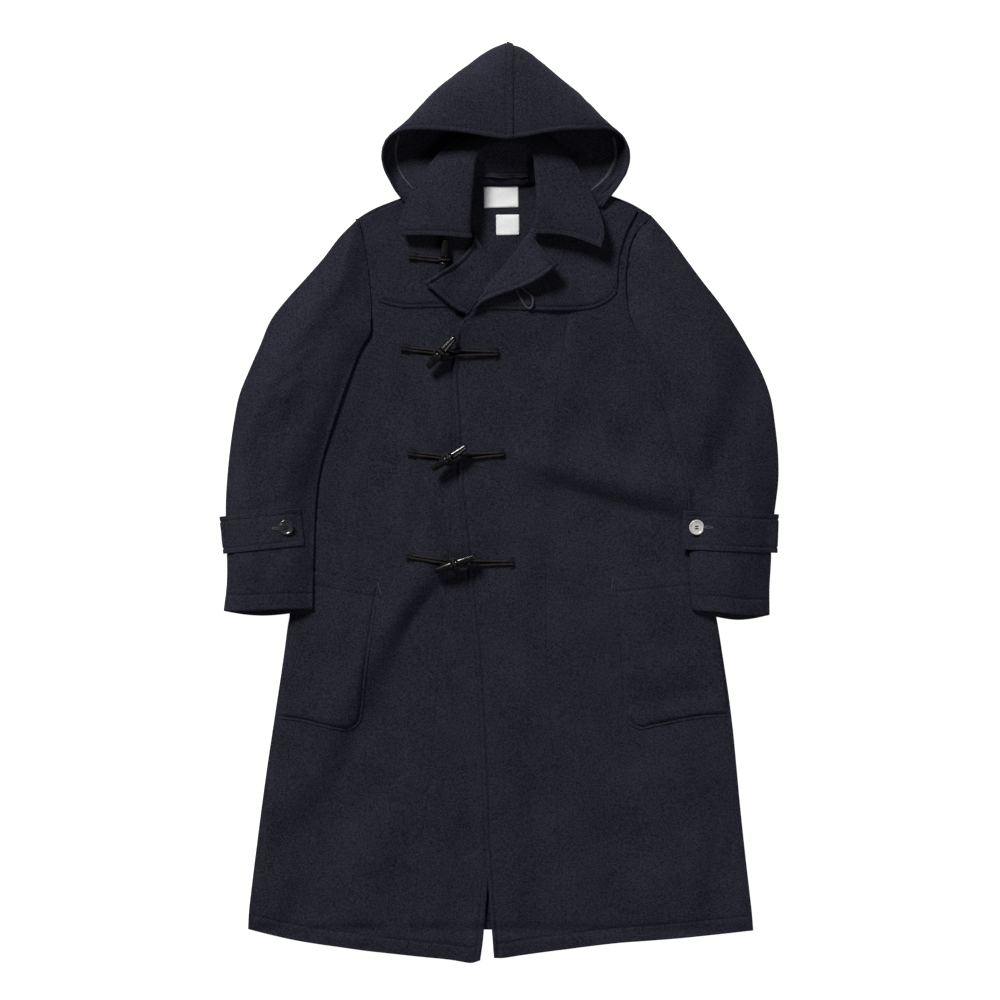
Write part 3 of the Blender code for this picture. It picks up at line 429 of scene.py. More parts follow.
def object_from(name, verts, faces, uvs, look, smooth_angle=None):
    """verts in table millimetres; uvs per vertex, in metres."""
    verts = (np.asarray(verts) + MIDDLE) * MM
    mesh = bpy.data.meshes.new(name)
    mesh.from_pydata(verts.tolist(), [], faces)
    layer = mesh.uv_layers.new(name="weave")
    corner = np.empty(len(mesh.loops), dtype=np.int32)
    mesh.loops.foreach_get("vertex_index", corner)
    layer.data.foreach_set("uv", np.asarray(uvs, float)[corner].ravel())
    mesh.shade_smooth()
    if smooth_angle:
        mesh.set_sharp_from_angle(angle=math.radians(smooth_angle))
    thing = add(name, mesh)
    mesh.materials.append(look)
    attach(thing, "root")
    return thing


def face_outwards(thing, weld_at=None):
    """Turns the faces of a closed piece outwards, after welding points that meet."""
    shape = bmesh.new()
    shape.from_mesh(thing.data)
    if weld_at:
        bmesh.ops.remove_doubles(shape, verts=shape.verts, dist=weld_at)
    bmesh.ops.recalc_face_normals(shape, faces=shape.faces)
    if shape.calc_volume(signed=True) < 0:
        bmesh.ops.reverse_faces(shape, faces=shape.faces)
    shape.to_mesh(thing.data)
    shape.free()


def tube_faces(rings, sides, base=0):
    """The faces of a tube whose points come ring by ring, with a cap at each end."""
    faces = []
    for a in range(base, base + (rings - 1) * sides, sides):
        for k in range(sides):
            n = (k + 1) % sides
            faces.append((a + k, a + sides + k, a + sides + n, a + n))
    last = base + (rings - 1) * sides
    return faces + [tuple(range(base, base + sides)), tuple(range(last, last + sides))[::-1]]


def tube_points(path, side, top, radius, sides):
    """Points in rings round a path, with radius one number or one for each point."""
    turn = (2 * math.pi * np.arange(sides) / sides)[None, :, None]
    radius = np.broadcast_to(radius, (len(path), sides))[..., None]
    return path[:, None] + side[:, None] * radius * np.cos(turn) + top[:, None] * radius * np.sin(turn)


def turned_weave(u, v, degrees):
    """The weave's coordinates, in metres."""
    c, s = math.cos(math.radians(degrees)), math.sin(math.radians(degrees))
    return np.stack([u * c - v * s, u * s + v * c], axis=-1) * MM


def triangulate(outline, points):
    """Triangles between a closed outline and points inside it: (places, triangles, count of outline)."""
    n = len(outline)
    flat = [Vector(p[:2]) for p in outline] + [Vector(p[:2]) for p in points]
    edges = [(k, (k + 1) % n) for k in range(n)]
    places, _, faces, origins, _, _ = delaunay_2d_cdt(flat, edges, [list(range(n))], 1, 1e-4)
    order = [o[0] if o else -1 for o in origins]
    return places, faces, order


def edge_rows(arcs, depths):
    """Points on lines parallel to the outline, inside it, where those lines are clear of other edges."""
    ring = np.vstack([a[:-1] for a in arcs])
    rows = []
    for depth in depths:
        for arc in arcs:
            p = moved(arc, depth)[:, :2]
            rows.append(p[distance_to(p, ring, closed=True)[0] > depth * 0.93])
    points = np.vstack(rows)
    return points[inside(points, ring)]


def hexes(ring, grain):
    """Points of a six-sided lattice over a ring's box, a little shaken."""
    low = ring[:, :2].min(0)
    high = ring[:, :2].max(0)
    rows = []
    for k, y in enumerate(np.arange(low[1], high[1], grain * 0.866)):
        xs = np.arange(low[0] + (k % 2) * grain / 2, high[0], grain)
        rows.append(np.stack([xs, np.full(len(xs), y)], axis=1))
    points = np.vstack(rows)
    return points + rng.uniform(-0.12, 0.12, points.shape) * grain


def thin_out(points, apart):
    """Drops points that crowd each other."""
    kept = {}
    result = []
    for p in points:
        key = (int(p[0] // apart), int(p[1] // apart))
        crowd = any((q[0] - p[0])**2 + (q[1] - p[1])**2 < apart * apart
                    for i in (-1, 0, 1) for j in (-1, 0, 1) for q in kept.get((key[0] + i, key[1] + j), ()))
        if not crowd:
            kept.setdefault(key, []).append(p)
            result.append(p)
    return np.array(result)


def settle(xy, z, faces, fixed, rounds):
    """Laplacian smoothing of heights with cotangent weights."""
    tri = np.array(faces)
    starts, ends, weights = [], [], []
    for k in range(3):
        a, b, c = tri[:, k], tri[:, (k + 1) % 3], tri[:, (k + 2) % 3]
        u, v = xy[a] - xy[c], xy[b] - xy[c]
        cross = np.abs(u[:, 0] * v[:, 1] - u[:, 1] * v[:, 0])
        w = (u * v).sum(1) / np.maximum(cross, 1e-3)
        w = np.clip(w, -5, 20)
        starts += [a, b]
        ends += [b, a]
        weights += [w, w]
    starts, ends, weights = map(np.concatenate, (starts, ends, weights))
    total = np.maximum(np.bincount(starts, weights, len(z)), 1e-6)
    for _ in range(rounds):
        mean = np.bincount(starts, weights * z[ends], len(z)) / total
        z = np.where(fixed, z, z + 0.85 * (mean - z))
    return z


panels = {}
sewn = {}


def cloth(name, relief, thick=CLOTH, grain=GRAIN, rounds=40, puff=0.7, floor_gap=None, weave=0.0, rim=RIM,
          lift=None, joins=(), pressed=0.0, steady=None, over=()):
    """The laid cloth of a solid: a closed shell with rounded rims, folds, puffed edges and sewn grooves.

    rounds smooths the solid's face; floor_gap is the least height that a trough may reach; lift(xy) adds
    air; joins names pieces whose seams flatten the rim; steady names the panel whose border holds the
    relief still; over names panels that this one lies on. panels[name] keeps what later pieces measure."""
    arcs = [moved(arc, -CLOSED) for arc in arcs_of(name, max(grain, 3.0))]
    ring = np.vstack([a[:-1] for a in arcs])
    lines = sewn.get(name, [])
    rows = [edge_rows(arcs, [0.3 * rim, rim, rim + PAST_RIM])]
    for line in lines:
        rows += [moved(along(line, step=3.4), off)[:, :2] for off in (-2.4, -1.1, 0, 1.1, 2.4)]
    lined = within(thin_out(np.vstack(rows), 0.55), ring, 0.25)
    field = within(hexes(ring, grain), ring, rim + PAST_RIM + 0.5 * grain)
    for line in lines:
        field = field[distance_to(field, line)[0] > 2.4 + 0.4 * grain]
    places, faces, _ = triangulate(ring, np.vstack([lined, field]))
    xy = np.array([p[:] for p in places])
    near, place, share = distance_to(xy, ring, closed=True)
    border = near < 1e-3

    def from_ring(values):
        values = np.append(values, values[0])
        return values[place] * (1 - share) + values[place + 1] * share

    joined = np.zeros(len(ring), bool)
    for other in joins:
        for arc in arcs_of(other):
            joined |= distance_to(ring[:, :2], arc)[0] < 1.2
    rims = rim * (1 - 0.5 * from_ring(joined))
    border_z = from_ring(ring[:, 2])
    z = border_z.copy()
    for k in np.nonzero(~border)[0]:
        z[k] = highest([fall(tree(name), *xy[k])], z[k])
    z = settle(xy, z, faces, border, rounds)
    fade = smooth(distance_to(xy, panels[steady]["ring"], closed=True)[0] / 14 if steady else near / 16)
    change = relief(xy[:, 0], xy[:, 1]) * (0.15 + 0.85 * fade)
    if floor_gap is not None:
        room = np.maximum(z - floor_gap, 0.0)
        change = np.where(change < 0, -room * (1 - np.exp(change / np.maximum(room, 0.05))), change)
    z = z + change
    if lift is not None:
        z = z + lift(xy)
    for other in over:
        for k in range(len(z)):
            under = surface(other, *xy[k])
            if under is not None:
                z[k] = max(z[k], under + thick + SEAM)
    for line in lines:
        d = distance_to(xy, line)[0]
        z -= GROOVE * np.exp(-(d / GROOVE_WIDE)**2)
        if pressed:
            z -= pressed * np.exp(-(near / 6.5)**2) * smooth((16 - d) / 6)
        if puff:
            z += puff * np.exp(-((near - 3.2) / 2.4)**2) * smooth((16 - d) / 8)
    roll = np.where(near < rims, rims - np.sqrt(np.maximum(rims**2 - (rims - near)**2, 0)), 0)

    low_points = np.vstack([edge_rows(arcs, [rim]), within(hexes(ring, BACK_GRAIN), ring, rim + 5)])
    edge = sorted(np.nonzero(border)[0], key=lambda k: place[k] + share[k])
    low_places, low_faces, low_order = triangulate(xy[edge], low_points)
    height = BVHTree.FromPolygons([Vector((*p, h)) for p, h in zip(xy, z)], faces)
    verts = np.column_stack([xy, z - roll]).tolist()
    index = []
    for at, o in zip(low_places, low_order):
        if 0 <= o < len(edge):
            index.append(edge[o])
        else:
            index.append(len(verts))
            above = highest([fall(height, at.x, at.y)], border_z.mean())
            verts.append([at.x, at.y, max(above - thick, LEAST)])
    all_faces = [list(f) for f in faces] + [[index[k] for k in reversed(f)] for f in low_faces]
    v = np.array(verts)
    thing = object_from(name + "_cloth", v, all_faces, turned_weave(v[:, 0], v[:, 1], weave), wool)
    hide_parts(name)
    x, y = ring[:, 0], ring[:, 1]
    area = abs(0.5 * np.sum(x * np.roll(y, -1) - y * np.roll(x, -1))) * 1e-6
    panels[name] = {"tree": height, "ring": ring, "area": area, "thing": thing, "lines": lines}


def surface(name, x, y):
    """Height of a dressed panel's face there, or None."""
    return fall(panels[name]["tree"], x, y)


def top_surface(names, x, y, otherwise=None):
    """Height of the highest of some dressed panels there."""
    return highest((surface(n, x, y) for n in names), otherwise)


# ---- materials

class Nodes:
    """A material's node tree, built a node at a time."""

    def __init__(self, name):
        self.material = bpy.data.materials.new(name)
        self.material.use_nodes = True
        self.tree = self.material.node_tree
        self.shader = self.tree.nodes["Principled BSDF"]
        self.where = self.node("TexCoord").outputs["Object"]

    def node(self, kind, links=None, **settings):
        made = self.tree.nodes.new("ShaderNode" + kind)
        for key, value in settings.items():
            setattr(made, key, value)
        for key, value in (links or {}).items():
            self.put(made, key, value)
        return made

    def put(self, made, key, value):
        socket = made.inputs[key]
        if isinstance(value, bpy.types.NodeSocket):
            self.tree.links.new(value, socket)
        else:
            socket.default_value = value

    def noise(self, scale, detail=2.0, rough=0.5, distortion=0.0):
        links = {"Vector": self.where, "Scale": scale, "Detail": detail, "Roughness": rough,
                 "Distortion": distortion}
        return self.node("TexNoise", links).outputs["Fac"]

    def ramp(self, value, *stops):
        made = self.node("ValToRGB", {"Fac": value})
        bar = made.color_ramp.elements
        while len(bar) < len(stops):
            bar.new(0.5)
        for element, (at, colour) in zip(bar, stops):
            element.position = at
            element.color = (*colour, 1.0) if len(colour) == 3 else colour
        return made.outputs["Color"]

    def mix(self, share, first, second):
        made = self.node("Mix", data_type="RGBA")
        self.put(made, 0, share)
        self.put(made, 6, first)
        self.put(made, 7, second)
        return made.outputs[2]

    def weigh(self, *parts):
        """The sum of (value, weight) pairs."""
        total = None
        for value, weight in parts:
            part = self.math("MULTIPLY", value, weight)
            total = part if total is None else self.math("ADD", total, part)
        return total

    def math(self, how, first, second=0.5):
        made = self.node("Math", operation=how)
        self.put(made, 0, first)
        self.put(made, 1, second)
        return made.outputs[0]

    def between(self, value, low, high):
        return self.node("MapRange", {"Value": value, "To Min": low, "To Max": high}).outputs["Result"]

    def bands(self, scale, distortion, detail, direction, **settings):
        """The stripes of a weave."""
        weave = self.node("UVMap", uv_map="weave").outputs["UV"]
        links = {"Vector": weave, "Scale": scale, "Distortion": distortion, "Detail": detail, **settings}
        return self.node("TexWave", links, wave_type="BANDS", bands_direction=direction).outputs["Fac"]

    def bump(self, height, strength, distance):
        links = {"Height": height, "Strength": strength, "Distance": distance}
        return self.node("Bump", links).outputs["Normal"]

    def finish(self, **values):
        for key, value in values.items():
            self.put(self.shader, key.replace("_", " "), value)
        return self.material


def grey(v):
    return (v, v, v)


def make_wool(name, dark, light, fleck):
    """Melton: felted so that the twill hardly shows, matt, with a short nap."""
    m = Nodes(name)
    patches = m.noise(16.0, 3.0, 0.55)
    felt = m.noise(430.0, 3.0, 0.62, 0.4)
    fibres = m.noise(1500.0, 3.0, 0.65, 0.8)
    twill = m.bands(210.0, 2.6, 2.0, "DIAGONAL", **{"Detail Scale": 3.0})
    colour = m.ramp(m.weigh((patches, 0.12), (felt, 0.60), (fibres, 0.28)), (0.395, dark), (0.605, light))
    lint = m.ramp(fibres, (0.66, grey(0)), (0.76, grey(1)))
    colour = m.mix(m.math("MULTIPLY", lint, 0.35), colour, (*fleck, 1.0))
    colour = m.mix(m.math("MULTIPLY", twill, 0.12), colour, (*dark, 1.0))
    normal = m.bump(m.weigh((felt, 1.0), (twill, 0.12), (fibres, 0.30)), 0.75, 0.0010)
    return m.finish(Base_Color=colour, Roughness=m.between(felt, 0.88, 1.0), Normal=normal,
                    Specular_IOR_Level=0.025, Sheen_Weight=0.03, Sheen_Roughness=0.5,
                    Sheen_Tint=(0.55, 0.62, 0.85, 1.0))


def make_horn():
    """Dark buffalo horn, cloudy in depth and polished."""
    m = Nodes("horn")
    cloudy = m.noise(90.0, 4.0, 0.6, 1.5)
    fine = m.noise(700.0, 3.0, 0.5)
    colour = m.ramp(cloudy, (0.35, (0.0030, 0.0029, 0.0030)), (0.62, (0.0075, 0.0070, 0.0068)),
                    (0.78, (0.024, 0.021, 0.019)))
    normal = m.bump(m.weigh((cloudy, 0.8), (fine, 0.2)), 0.25, 0.0004)
    return m.finish(Base_Color=colour, Roughness=m.between(fine, 0.13, 0.24), Normal=normal,
                    Specular_IOR_Level=0.30, Coat_Weight=0.12, Coat_Roughness=0.18)


def make_cord_look(name, dark, light):
    """Spun fibres, for cords and threads."""
    m = Nodes(name)
    fibres = m.noise(1900.0, 3.0, 0.6, 0.8)
    patches = m.noise(160.0, 2.0)
    colour = m.ramp(m.weigh((fibres, 0.6), (patches, 0.4)), (0.32, dark), (0.68, light))
    return m.finish(Base_Color=colour, Roughness=m.between(fibres, 0.55, 0.8),
                    Normal=m.bump(fibres, 0.5, 0.0003), Specular_IOR_Level=0.07, Sheen_Weight=0.03,
                    Sheen_Roughness=0.4)


def make_button_look(name, dark, light):
    """Polished, with a faint swirl."""
    m = Nodes(name)
    fine = m.noise(1600.0, 2.0)
    colour = m.ramp(m.noise(240.0, 4.0, 0.55, 1.8), (0.34, dark), (0.66, light))
    return m.finish(Base_Color=colour, Roughness=m.between(fine, 0.18, 0.32),
                    Normal=m.bump(fine, 0.12, 0.0002), Specular_IOR_Level=0.55, Coat_Weight=0.4,
                    Coat_Roughness=0.15)


def make_woven(name, dark, light, threads, bump=0.6, twill=False):
    """A narrow woven ware: label or tape, with its threads across and along."""
    m = Nodes(name)
    cloudy = m.noise(260.0, 3.0)
    cross = m.math("MULTIPLY", m.bands(threads, 0.4, 1.0, "DIAGONAL" if twill else "X"),
                   m.bands(threads, 0.4, 1.0, "Y"))
    colour = m.ramp(m.weigh((cross, 0.55), (cloudy, 0.45)), (0.15, dark), (0.75, light))
    return m.finish(Base_Color=colour, Roughness=m.between(cloudy, 0.6, 0.85),
                    Normal=m.bump(cross, bump, 0.0003), Specular_IOR_Level=0.08, Sheen_Weight=0.04,
                    Sheen_Roughness=0.4)


wool = make_wool("melton", (0.0062, 0.0062, 0.0104), (0.0285, 0.0286, 0.0425), (0.080, 0.082, 0.105))
horn = make_horn()
cord_brown = make_cord_look("braided_cord_brown", (0.0050, 0.0041, 0.0044), (0.029, 0.023, 0.024))
cord_grey = make_cord_look("braided_cord_grey", (0.022, 0.022, 0.026), (0.075, 0.075, 0.085))
navy_thread = make_cord_look("navy_thread", (0.0060, 0.0060, 0.0100), (0.022, 0.022, 0.033))
black_thread = make_cord_look("black_thread", (0.0045, 0.0042, 0.0055), (0.018, 0.016, 0.020))
buttonhole_thread = make_cord_look("buttonhole_thread", (0.030, 0.030, 0.038), (0.090, 0.090, 0.105))
tack_thread = make_cord_look("tack_thread", (0.030, 0.030, 0.042), (0.085, 0.085, 0.105))
label_thread = make_cord_look("label_thread", (0.50, 0.50, 0.51), (0.72, 0.72, 0.73))
button_dark = make_button_look("button_dark", (0.010, 0.010, 0.013), (0.030, 0.030, 0.036))
button_light = make_button_look("button_light", (0.40, 0.39, 0.375), (0.62, 0.60, 0.57))
label_look = make_woven("label_satin", (0.69, 0.69, 0.695), (0.85, 0.85, 0.855), 900.0, 0.35)
tape_look = make_woven("twill_tape", (0.008, 0.008, 0.011), (0.042, 0.042, 0.050), 420.0, 0.9, True)
facing_look = make_woven("facing_tape", (0.030, 0.031, 0.038), (0.085, 0.087, 0.100), 420.0, 0.5, True)


# ---- room, light and camera

FLOOR = -0.0005        # the floor's height and half width, in metres
FLOOR_WIDE = 6.0
# Columns: place, size, watts
SOFTBOXES = (((-3.7, 6.5, 5.5), 2.2, 1190), ((1.7, -1.5, 2.4), 1.2, 24))


def make_room():
    scene = bpy.context.scene
    scene.view_settings.view_transform = "Standard"
    scene.view_settings.look = "None"
    scene.view_settings.exposure = 0.0
    scene.world = bpy.data.worlds.new("studio")
    scene.world.use_nodes = True
    back = scene.world.node_tree.nodes["Background"]
    back.inputs["Color"].default_value = (1.0, 1.0, 1.0, 1.0)
    back.inputs["Strength"].default_value = 0.07

    paper = bpy.data.meshes.new("floor")
    corners = [(x * FLOOR_WIDE, y * FLOOR_WIDE, FLOOR) for x, y in ((-1, -1), (1, -1), (1, 1), (-1, 1))]
    paper.from_pydata(corners, [], [(0, 1, 2, 3)])
    m = Nodes("floor_paper")
    colour = m.ramp(m.noise(30.0, 3.0), (0.3, grey(0.30)), (0.7, grey(0.32)))
    paper.materials.append(m.finish(Base_Color=colour, Roughness=0.9, Specular_IOR_Level=0.05,
                                    Emission_Color=(1.0, 1.0, 1.0, 1.0), Emission_Strength=0.97))
    add("floor", paper)

    for place, size, watts in SOFTBOXES:
        lamp = bpy.data.lights.new("softbox", "AREA")
        lamp.shape = "SQUARE"
        lamp.size = size
        lamp.energy = watts
        box = add("softbox", lamp)
        box.location = place
        box.rotation_euler = (-Vector(place)).to_track_quat("-Z", "Y").to_euler()

    lens = bpy.data.cameras.new("camera")
    lens.sensor_width = 36.0
    lens.lens = 147.0
    scene.camera = add("camera", lens)
    scene.camera.location = (0.0013, 0.0049, 6.0)


make_room()


# ---- the body's cloth

SIDES = (("right", -1), ("left", 1))
EDGE_STITCH = 7.4      # topstitching of the front edges, lapels, collar and straps
HEM_STITCH = 22.0
CUFF_STITCH = 23.0
POCKET_STITCH = 19.0
YOKE_STITCH = 5.0
POCKET_EDGE_STITCH = 4.6
CUFF_AT = (340, -160)  # a place at the left cuff
SLEEVE_FULL = 19.0     # how high the air lifts a sleeve
SLEEVE_RISE = 30.0     # over what distance from its edges
FULL_AT_CUFF = 0.42    # and the cuff's share of that


def arc_near(name, x, y):
    """The arc of a solid's border that passes nearest to a point."""
    return nearest(arcs_of(name), x, y)


def inset(line, depth, start, end, keep=None):
    """The line moved inwards from a border, cut to where keep(points) holds, and shortened at its ends."""
    line = moved(line, depth)
    if keep is not None:
        line = line[keep(line)]
    lengths = distances(line[:, :2])
    return line[(lengths >= start) & (lengths <= lengths[-1] - end)]


for side, s in SIDES:
    tip = (-85, 296) if side == "right" else (45, 318)
    notch = (-80, 342) if side == "right" else (66, 370)
    centre = side + "_front_centre"
    sewn[centre] = [inset(arc_near(centre, 0, -200), EDGE_STITCH, 2, 2, lambda p: p[:, 1] < 247)]
    # Columns: piece, a place near an arc of its border, distance from the arc, shortening at both ends
    for piece, (x, y), depth, start, end in (
            ("front_centre", (s * 50 - 20, -668), HEM_STITCH, 1, 1),
            ("front_side", (s * 230, -650), HEM_STITCH, 1, 1),
            ("yoke", (s * 110, 285), YOKE_STITCH, 1, 1),
            ("pocket", (s * 235, -105), POCKET_STITCH, 1, 1),
            ("pocket", (s * 176, -200), POCKET_EDGE_STITCH, 2, 0),
            ("pocket", (s * 270, -325), POCKET_EDGE_STITCH, 0, 2),
            ("sleeve_upper", (s * CUFF_AT[0], CUFF_AT[1]), CUFF_STITCH, 1, 1),
            ("lapel", tip, EDGE_STITCH, 2, 2),
            ("lapel", notch, EDGE_STITCH, 2, 2)):
        name = side + "_" + piece
        sewn.setdefault(name, []).append(inset(arc_near(name, x, y), depth, start, end))


def sleeve_arcs(side, s):
    """The arcs of a sleeve's border: the cuff, and a list of the others."""
    arcs = arcs_of(side + "_sleeve_upper", 4.0)
    cuff = nearest(arcs, s * CUFF_AT[0], CUFF_AT[1])
    return cuff, [a for a in arcs if a is not cuff]


def sleeve_fullness(side, s):
    """The air in a sleeve: its cloth rises from its long edges, and less at the cuff."""
    cuff, others = sleeve_arcs(side, s)

    def lift(xy):
        sides = np.min([distance_to(xy, a)[0] for a in others], axis=0)
        share = FULL_AT_CUFF + (1 - FULL_AT_CUFF) * smooth(distance_to(xy, cuff)[0] / 75)
        return SLEEVE_FULL * (1 - np.exp(-(sides / SLEEVE_RISE)**1.3)) * share

    return lift


GAP_OVER_BACK = CLOTH + SEAM + CLOTH   # the least height of the fronts' upper face
cloth("back", even_relief, grain=9.0, rounds=4, puff=0)
for side, s in SIDES:
    outer, centre, yoke, pocket, under, upper, lapel = (side + end for end in (
        "_front_side", "_front_centre", "_yoke", "_pocket", "_sleeve_under", "_sleeve_upper", "_lapel"))
    cloth(outer, body_relief, floor_gap=GAP_OVER_BACK, weave=s * 4, joins=[centre], steady="back")
    cloth(centre, body_relief, floor_gap=GAP_OVER_BACK, joins=[outer], steady="back",
          puff=1.6 if side == "left" else 0.7)
    cloth(yoke, body_relief, weave=s * -6, puff=0.3, pressed=2.1, steady="back")
    cloth(pocket, body_relief, grain=3.6, weave=s * 3, puff=0.25, pressed=1.3, steady="back")
    cloth(under, even_relief, grain=7.0, puff=0, weave=s * 30, over=[outer, pocket])
    cloth(upper, sleeve_relief, weave=s * 32, rim=2.0, lift=sleeve_fullness(side, s),
          over=[under, outer, pocket])
    cloth(lapel, body_relief, thick=DOUBLE, grain=2.8, puff=1.5, weave=s * 20, rim=DOUBLE / 2, steady="back")


# ---- shells on a grid: collar, hoods, straps

# Stations along the collar: its seam, its roll, its outer edge, and how far its fall bows up the coat
COLLAR = [
    ((-45, 399, 12), (-40, 387, 26), (-142, 391, 24), 2),
    ((-54, 410, 12), (-42, 402, 29), (-147, 405, 24), 0),
    ((-63, 424, 12), (-41, 420, 32), (-143, 423, 23), 0),
    ((-71, 440, 12), (-39, 440, 34), (-134, 445, 22), 0),
    ((-75, 457, 12), (-37, 462, 36), (-121, 468, 21), 0),
    ((-74, 470, 10), (-35, 486, 36), (-101, 497, 20), 0),
    ((-62, 470, 7), (-31, 508, 36), (-74, 525, 19), 0),
    ((-42, 470, 5.4), (-18, 521, 35), (-36, 545, 16), 0),
    ((-16, 469, 5.4), (-4, 525, 34), (-10, 555, 14), 0),
    ((10, 468, 5.4), (10, 526, 34), (10, 558, 14), 0),
    ((36, 469, 5.4), (24, 525, 34), (30, 555, 14), 0),
    ((62, 471, 5.4), (36, 521, 35), (56, 544, 16), 0),
    ((82, 472, 7), (48, 508, 36), (84, 524, 19), 0),
    ((93, 472, 10), (51, 486, 36), (108, 500, 21), 0),
    ((94, 459, 12), (53, 463, 36), (125, 473, 23), 0),
    ((91, 445, 12), (54, 443, 35), (138, 447, 26), 0),
    ((83, 431, 12), (54, 426, 33), (148, 422, 29), 1),
    ((72, 421, 12), (51, 411, 30), (154, 394, 31), 3),
    ((60, 413, 12), (44, 395, 27), (149, 372, 32), 7),
]
FALL_LENGTHWISE = 7
ROLL_ROUND = 7.0
ROLL_DIP = 1.5
FALL_BULGE = 2.5


# Stations from the crown's seam to the hood's front end: rim, outermost place, depth of the side's bowl, neck
HOOD = {
    "right": [
        ((10.05, 528.5, 62), (10.05, 673.1, 9), 9, (10.05, 477, 4.6)),
        ((-18, 532.5, 63), (-14, 663, 9), 9, (-8, 477, 4.6)),
        ((-47, 537.5, 63), (-46, 641, 10), 10, (-24, 477, 4.6)),
        ((-76, 541, 61), (-80, 615, 11), 11, (-38, 477.5, 4.6)),
        ((-103, 543, 57), (-109, 587, 12), 13, (-50, 478.5, 4.6)),
        ((-127, 543.5, 51), (-134, 560, 15), 17, (-60, 478, 4.6)),
        ((-148, 541, 43), (-151, 544, 20), 23, (-68, 478.5, 5)),
        ((-163, 530, 37), (-164, 531, 26), 30, (-76, 479, 6)),
        ((-170, 512, 32), (-170.5, 512, 27), 35, (-83, 478, 8)),
        ((-168, 491, 28), (-168.5, 491, 23), 32, (-84, 468, 10.7)),
        ((-159, 472, 24), (-159.5, 472, 19), 26, (-82, 456, 10.7)),
        ((-148, 454, 19), (-148.5, 454, 15), 20, (-78, 444, 10.7)),
        ((-134, 437, 15), (-134.5, 437, 12.5), 14, (-72, 432, 10.7)),
    ],
    "left": [
        ((10.1, 528.5, 62), (10.1, 673.1, 9), 9, (10.1, 477, 4.6)),
        ((38, 532.5, 63), (36, 664, 9), 9, (30, 477, 4.6)),
        ((66, 538, 63), (66, 641, 10), 10, (46, 478, 4.6)),
        ((95, 542, 61), (97, 615, 11), 11, (60, 479, 4.6)),
        ((121, 543, 57), (123, 592, 12), 13, (72, 478, 4.6)),
        ((145, 544, 51), (149, 565, 15), 17, (82, 479, 4.6)),
        ((164, 544, 43), (168, 547, 20), 23, (90, 480, 5)),
        ((180, 533, 37), (181, 534, 26), 30, (97, 481, 6)),
        ((189, 512, 32), (189.5, 512, 27), 35, (103, 479, 8)),
        ((186, 488, 28), (186.5, 488, 23), 32, (103, 469, 10.7)),
        ((175, 468, 24), (175.5, 468, 19), 26, (101, 459, 10.7)),
        ((161, 450, 19), (161.5, 450, 15), 20, (98, 449, 10.7)),
        ((149, 434, 15.5), (149.5, 434, 13), 14, (90, 437, 10.7)),
    ],
}
HOOD_POINTS = 13
CROWN_BULGE = 5.0
CROWN_FULLNESS = 0.8
HOOD_LIFT = 0.8

STRAP_WIDTH = {"right": 55.0, "left": 57.0}
STRAP_MIDDLE = {"right": ((-288, -35), (-402, -47)), "left": ((268, -40), (403.2, -45))}
STRAP_TURN = 4.5       # radius of the bend round the sleeve's edge
STRAP_COLUMNS = 12


def collar_grid():
    grid = []
    for seam, roll, edge, bow in COLLAR:
        seam, roll, edge = Vector(seam), Vector(roll), Vector(edge)
        to_seam = (seam - roll).normalized()
        to_edge = (edge - roll).normalized()
        near_seam = roll + to_seam * ROLL_ROUND - Vector((0, 0, ROLL_DIP))
        near_edge = roll + to_edge * ROLL_ROUND + Vector((0, 0, ROLL_DIP))
        row = [seam, seam.lerp(near_seam, 0.5), near_seam, roll + (to_seam + to_edge) * 1.2, near_edge]
        for k in range(1, FALL_LENGTHWISE + 1):
            t = k / FALL_LENGTHWISE
            point = near_edge.lerp(edge, t)
            point.z += FALL_BULGE * math.sin(math.pi * t)
            point.y += bow * math.sin(math.pi * t)
            row.append(point)
        grid.append([p[:] for p in row])
    return np.array(grid)


def hood_path(rim, out, bowl, neck):
    rim, out, neck = Vector(rim), Vector(out), Vector(neck)
    path = []
    for k in range(9):
        angle = math.pi / 2 * k / 8
        point = rim.lerp(out, math.sin(angle))
        point.z = out.z + (rim.z - out.z) * math.cos(angle) ** CROWN_FULLNESS
        point.z += CROWN_BULGE * math.sin(2 * angle) * min((out.xy - rim.xy).length / 100, 1.0)
        path.append(point[:])
    inward = (neck.xy - out.xy).normalized().to_3d()
    low = CLOTH / 2
    for k in range(1, 7):
        angle = math.pi / 2 * k / 6
        point = out + inward * bowl * (1 - math.cos(angle))
        point.z = low + (out.z - low) * (1 - math.sin(angle))
        path.append(point[:])
    start = Vector(path[-1])
    for k in range(1, 13):
        t = k / 12
        point = start.lerp(neck, t)
        point.z = low + (neck.z - low) * float(smooth((t - 0.5) * 2))
        path.append(point[:])
    return np.array(path)


def hood_grid(side):
    body = ["back", side + "_front_side", side + "_front_centre", side + "_yoke", "right_front_centre"]
    grid = []
    for station in HOOD[side]:
        row = along(hood_path(*station), count=HOOD_POINTS)
        for point in row:
            over_body = rest_height(point[0], point[1], body)
            if over_body > 0:
                point[2] = max(point[2], over_body + CLOTH * HOOD_LIFT)
        grid.append(row)
    return np.array(grid)


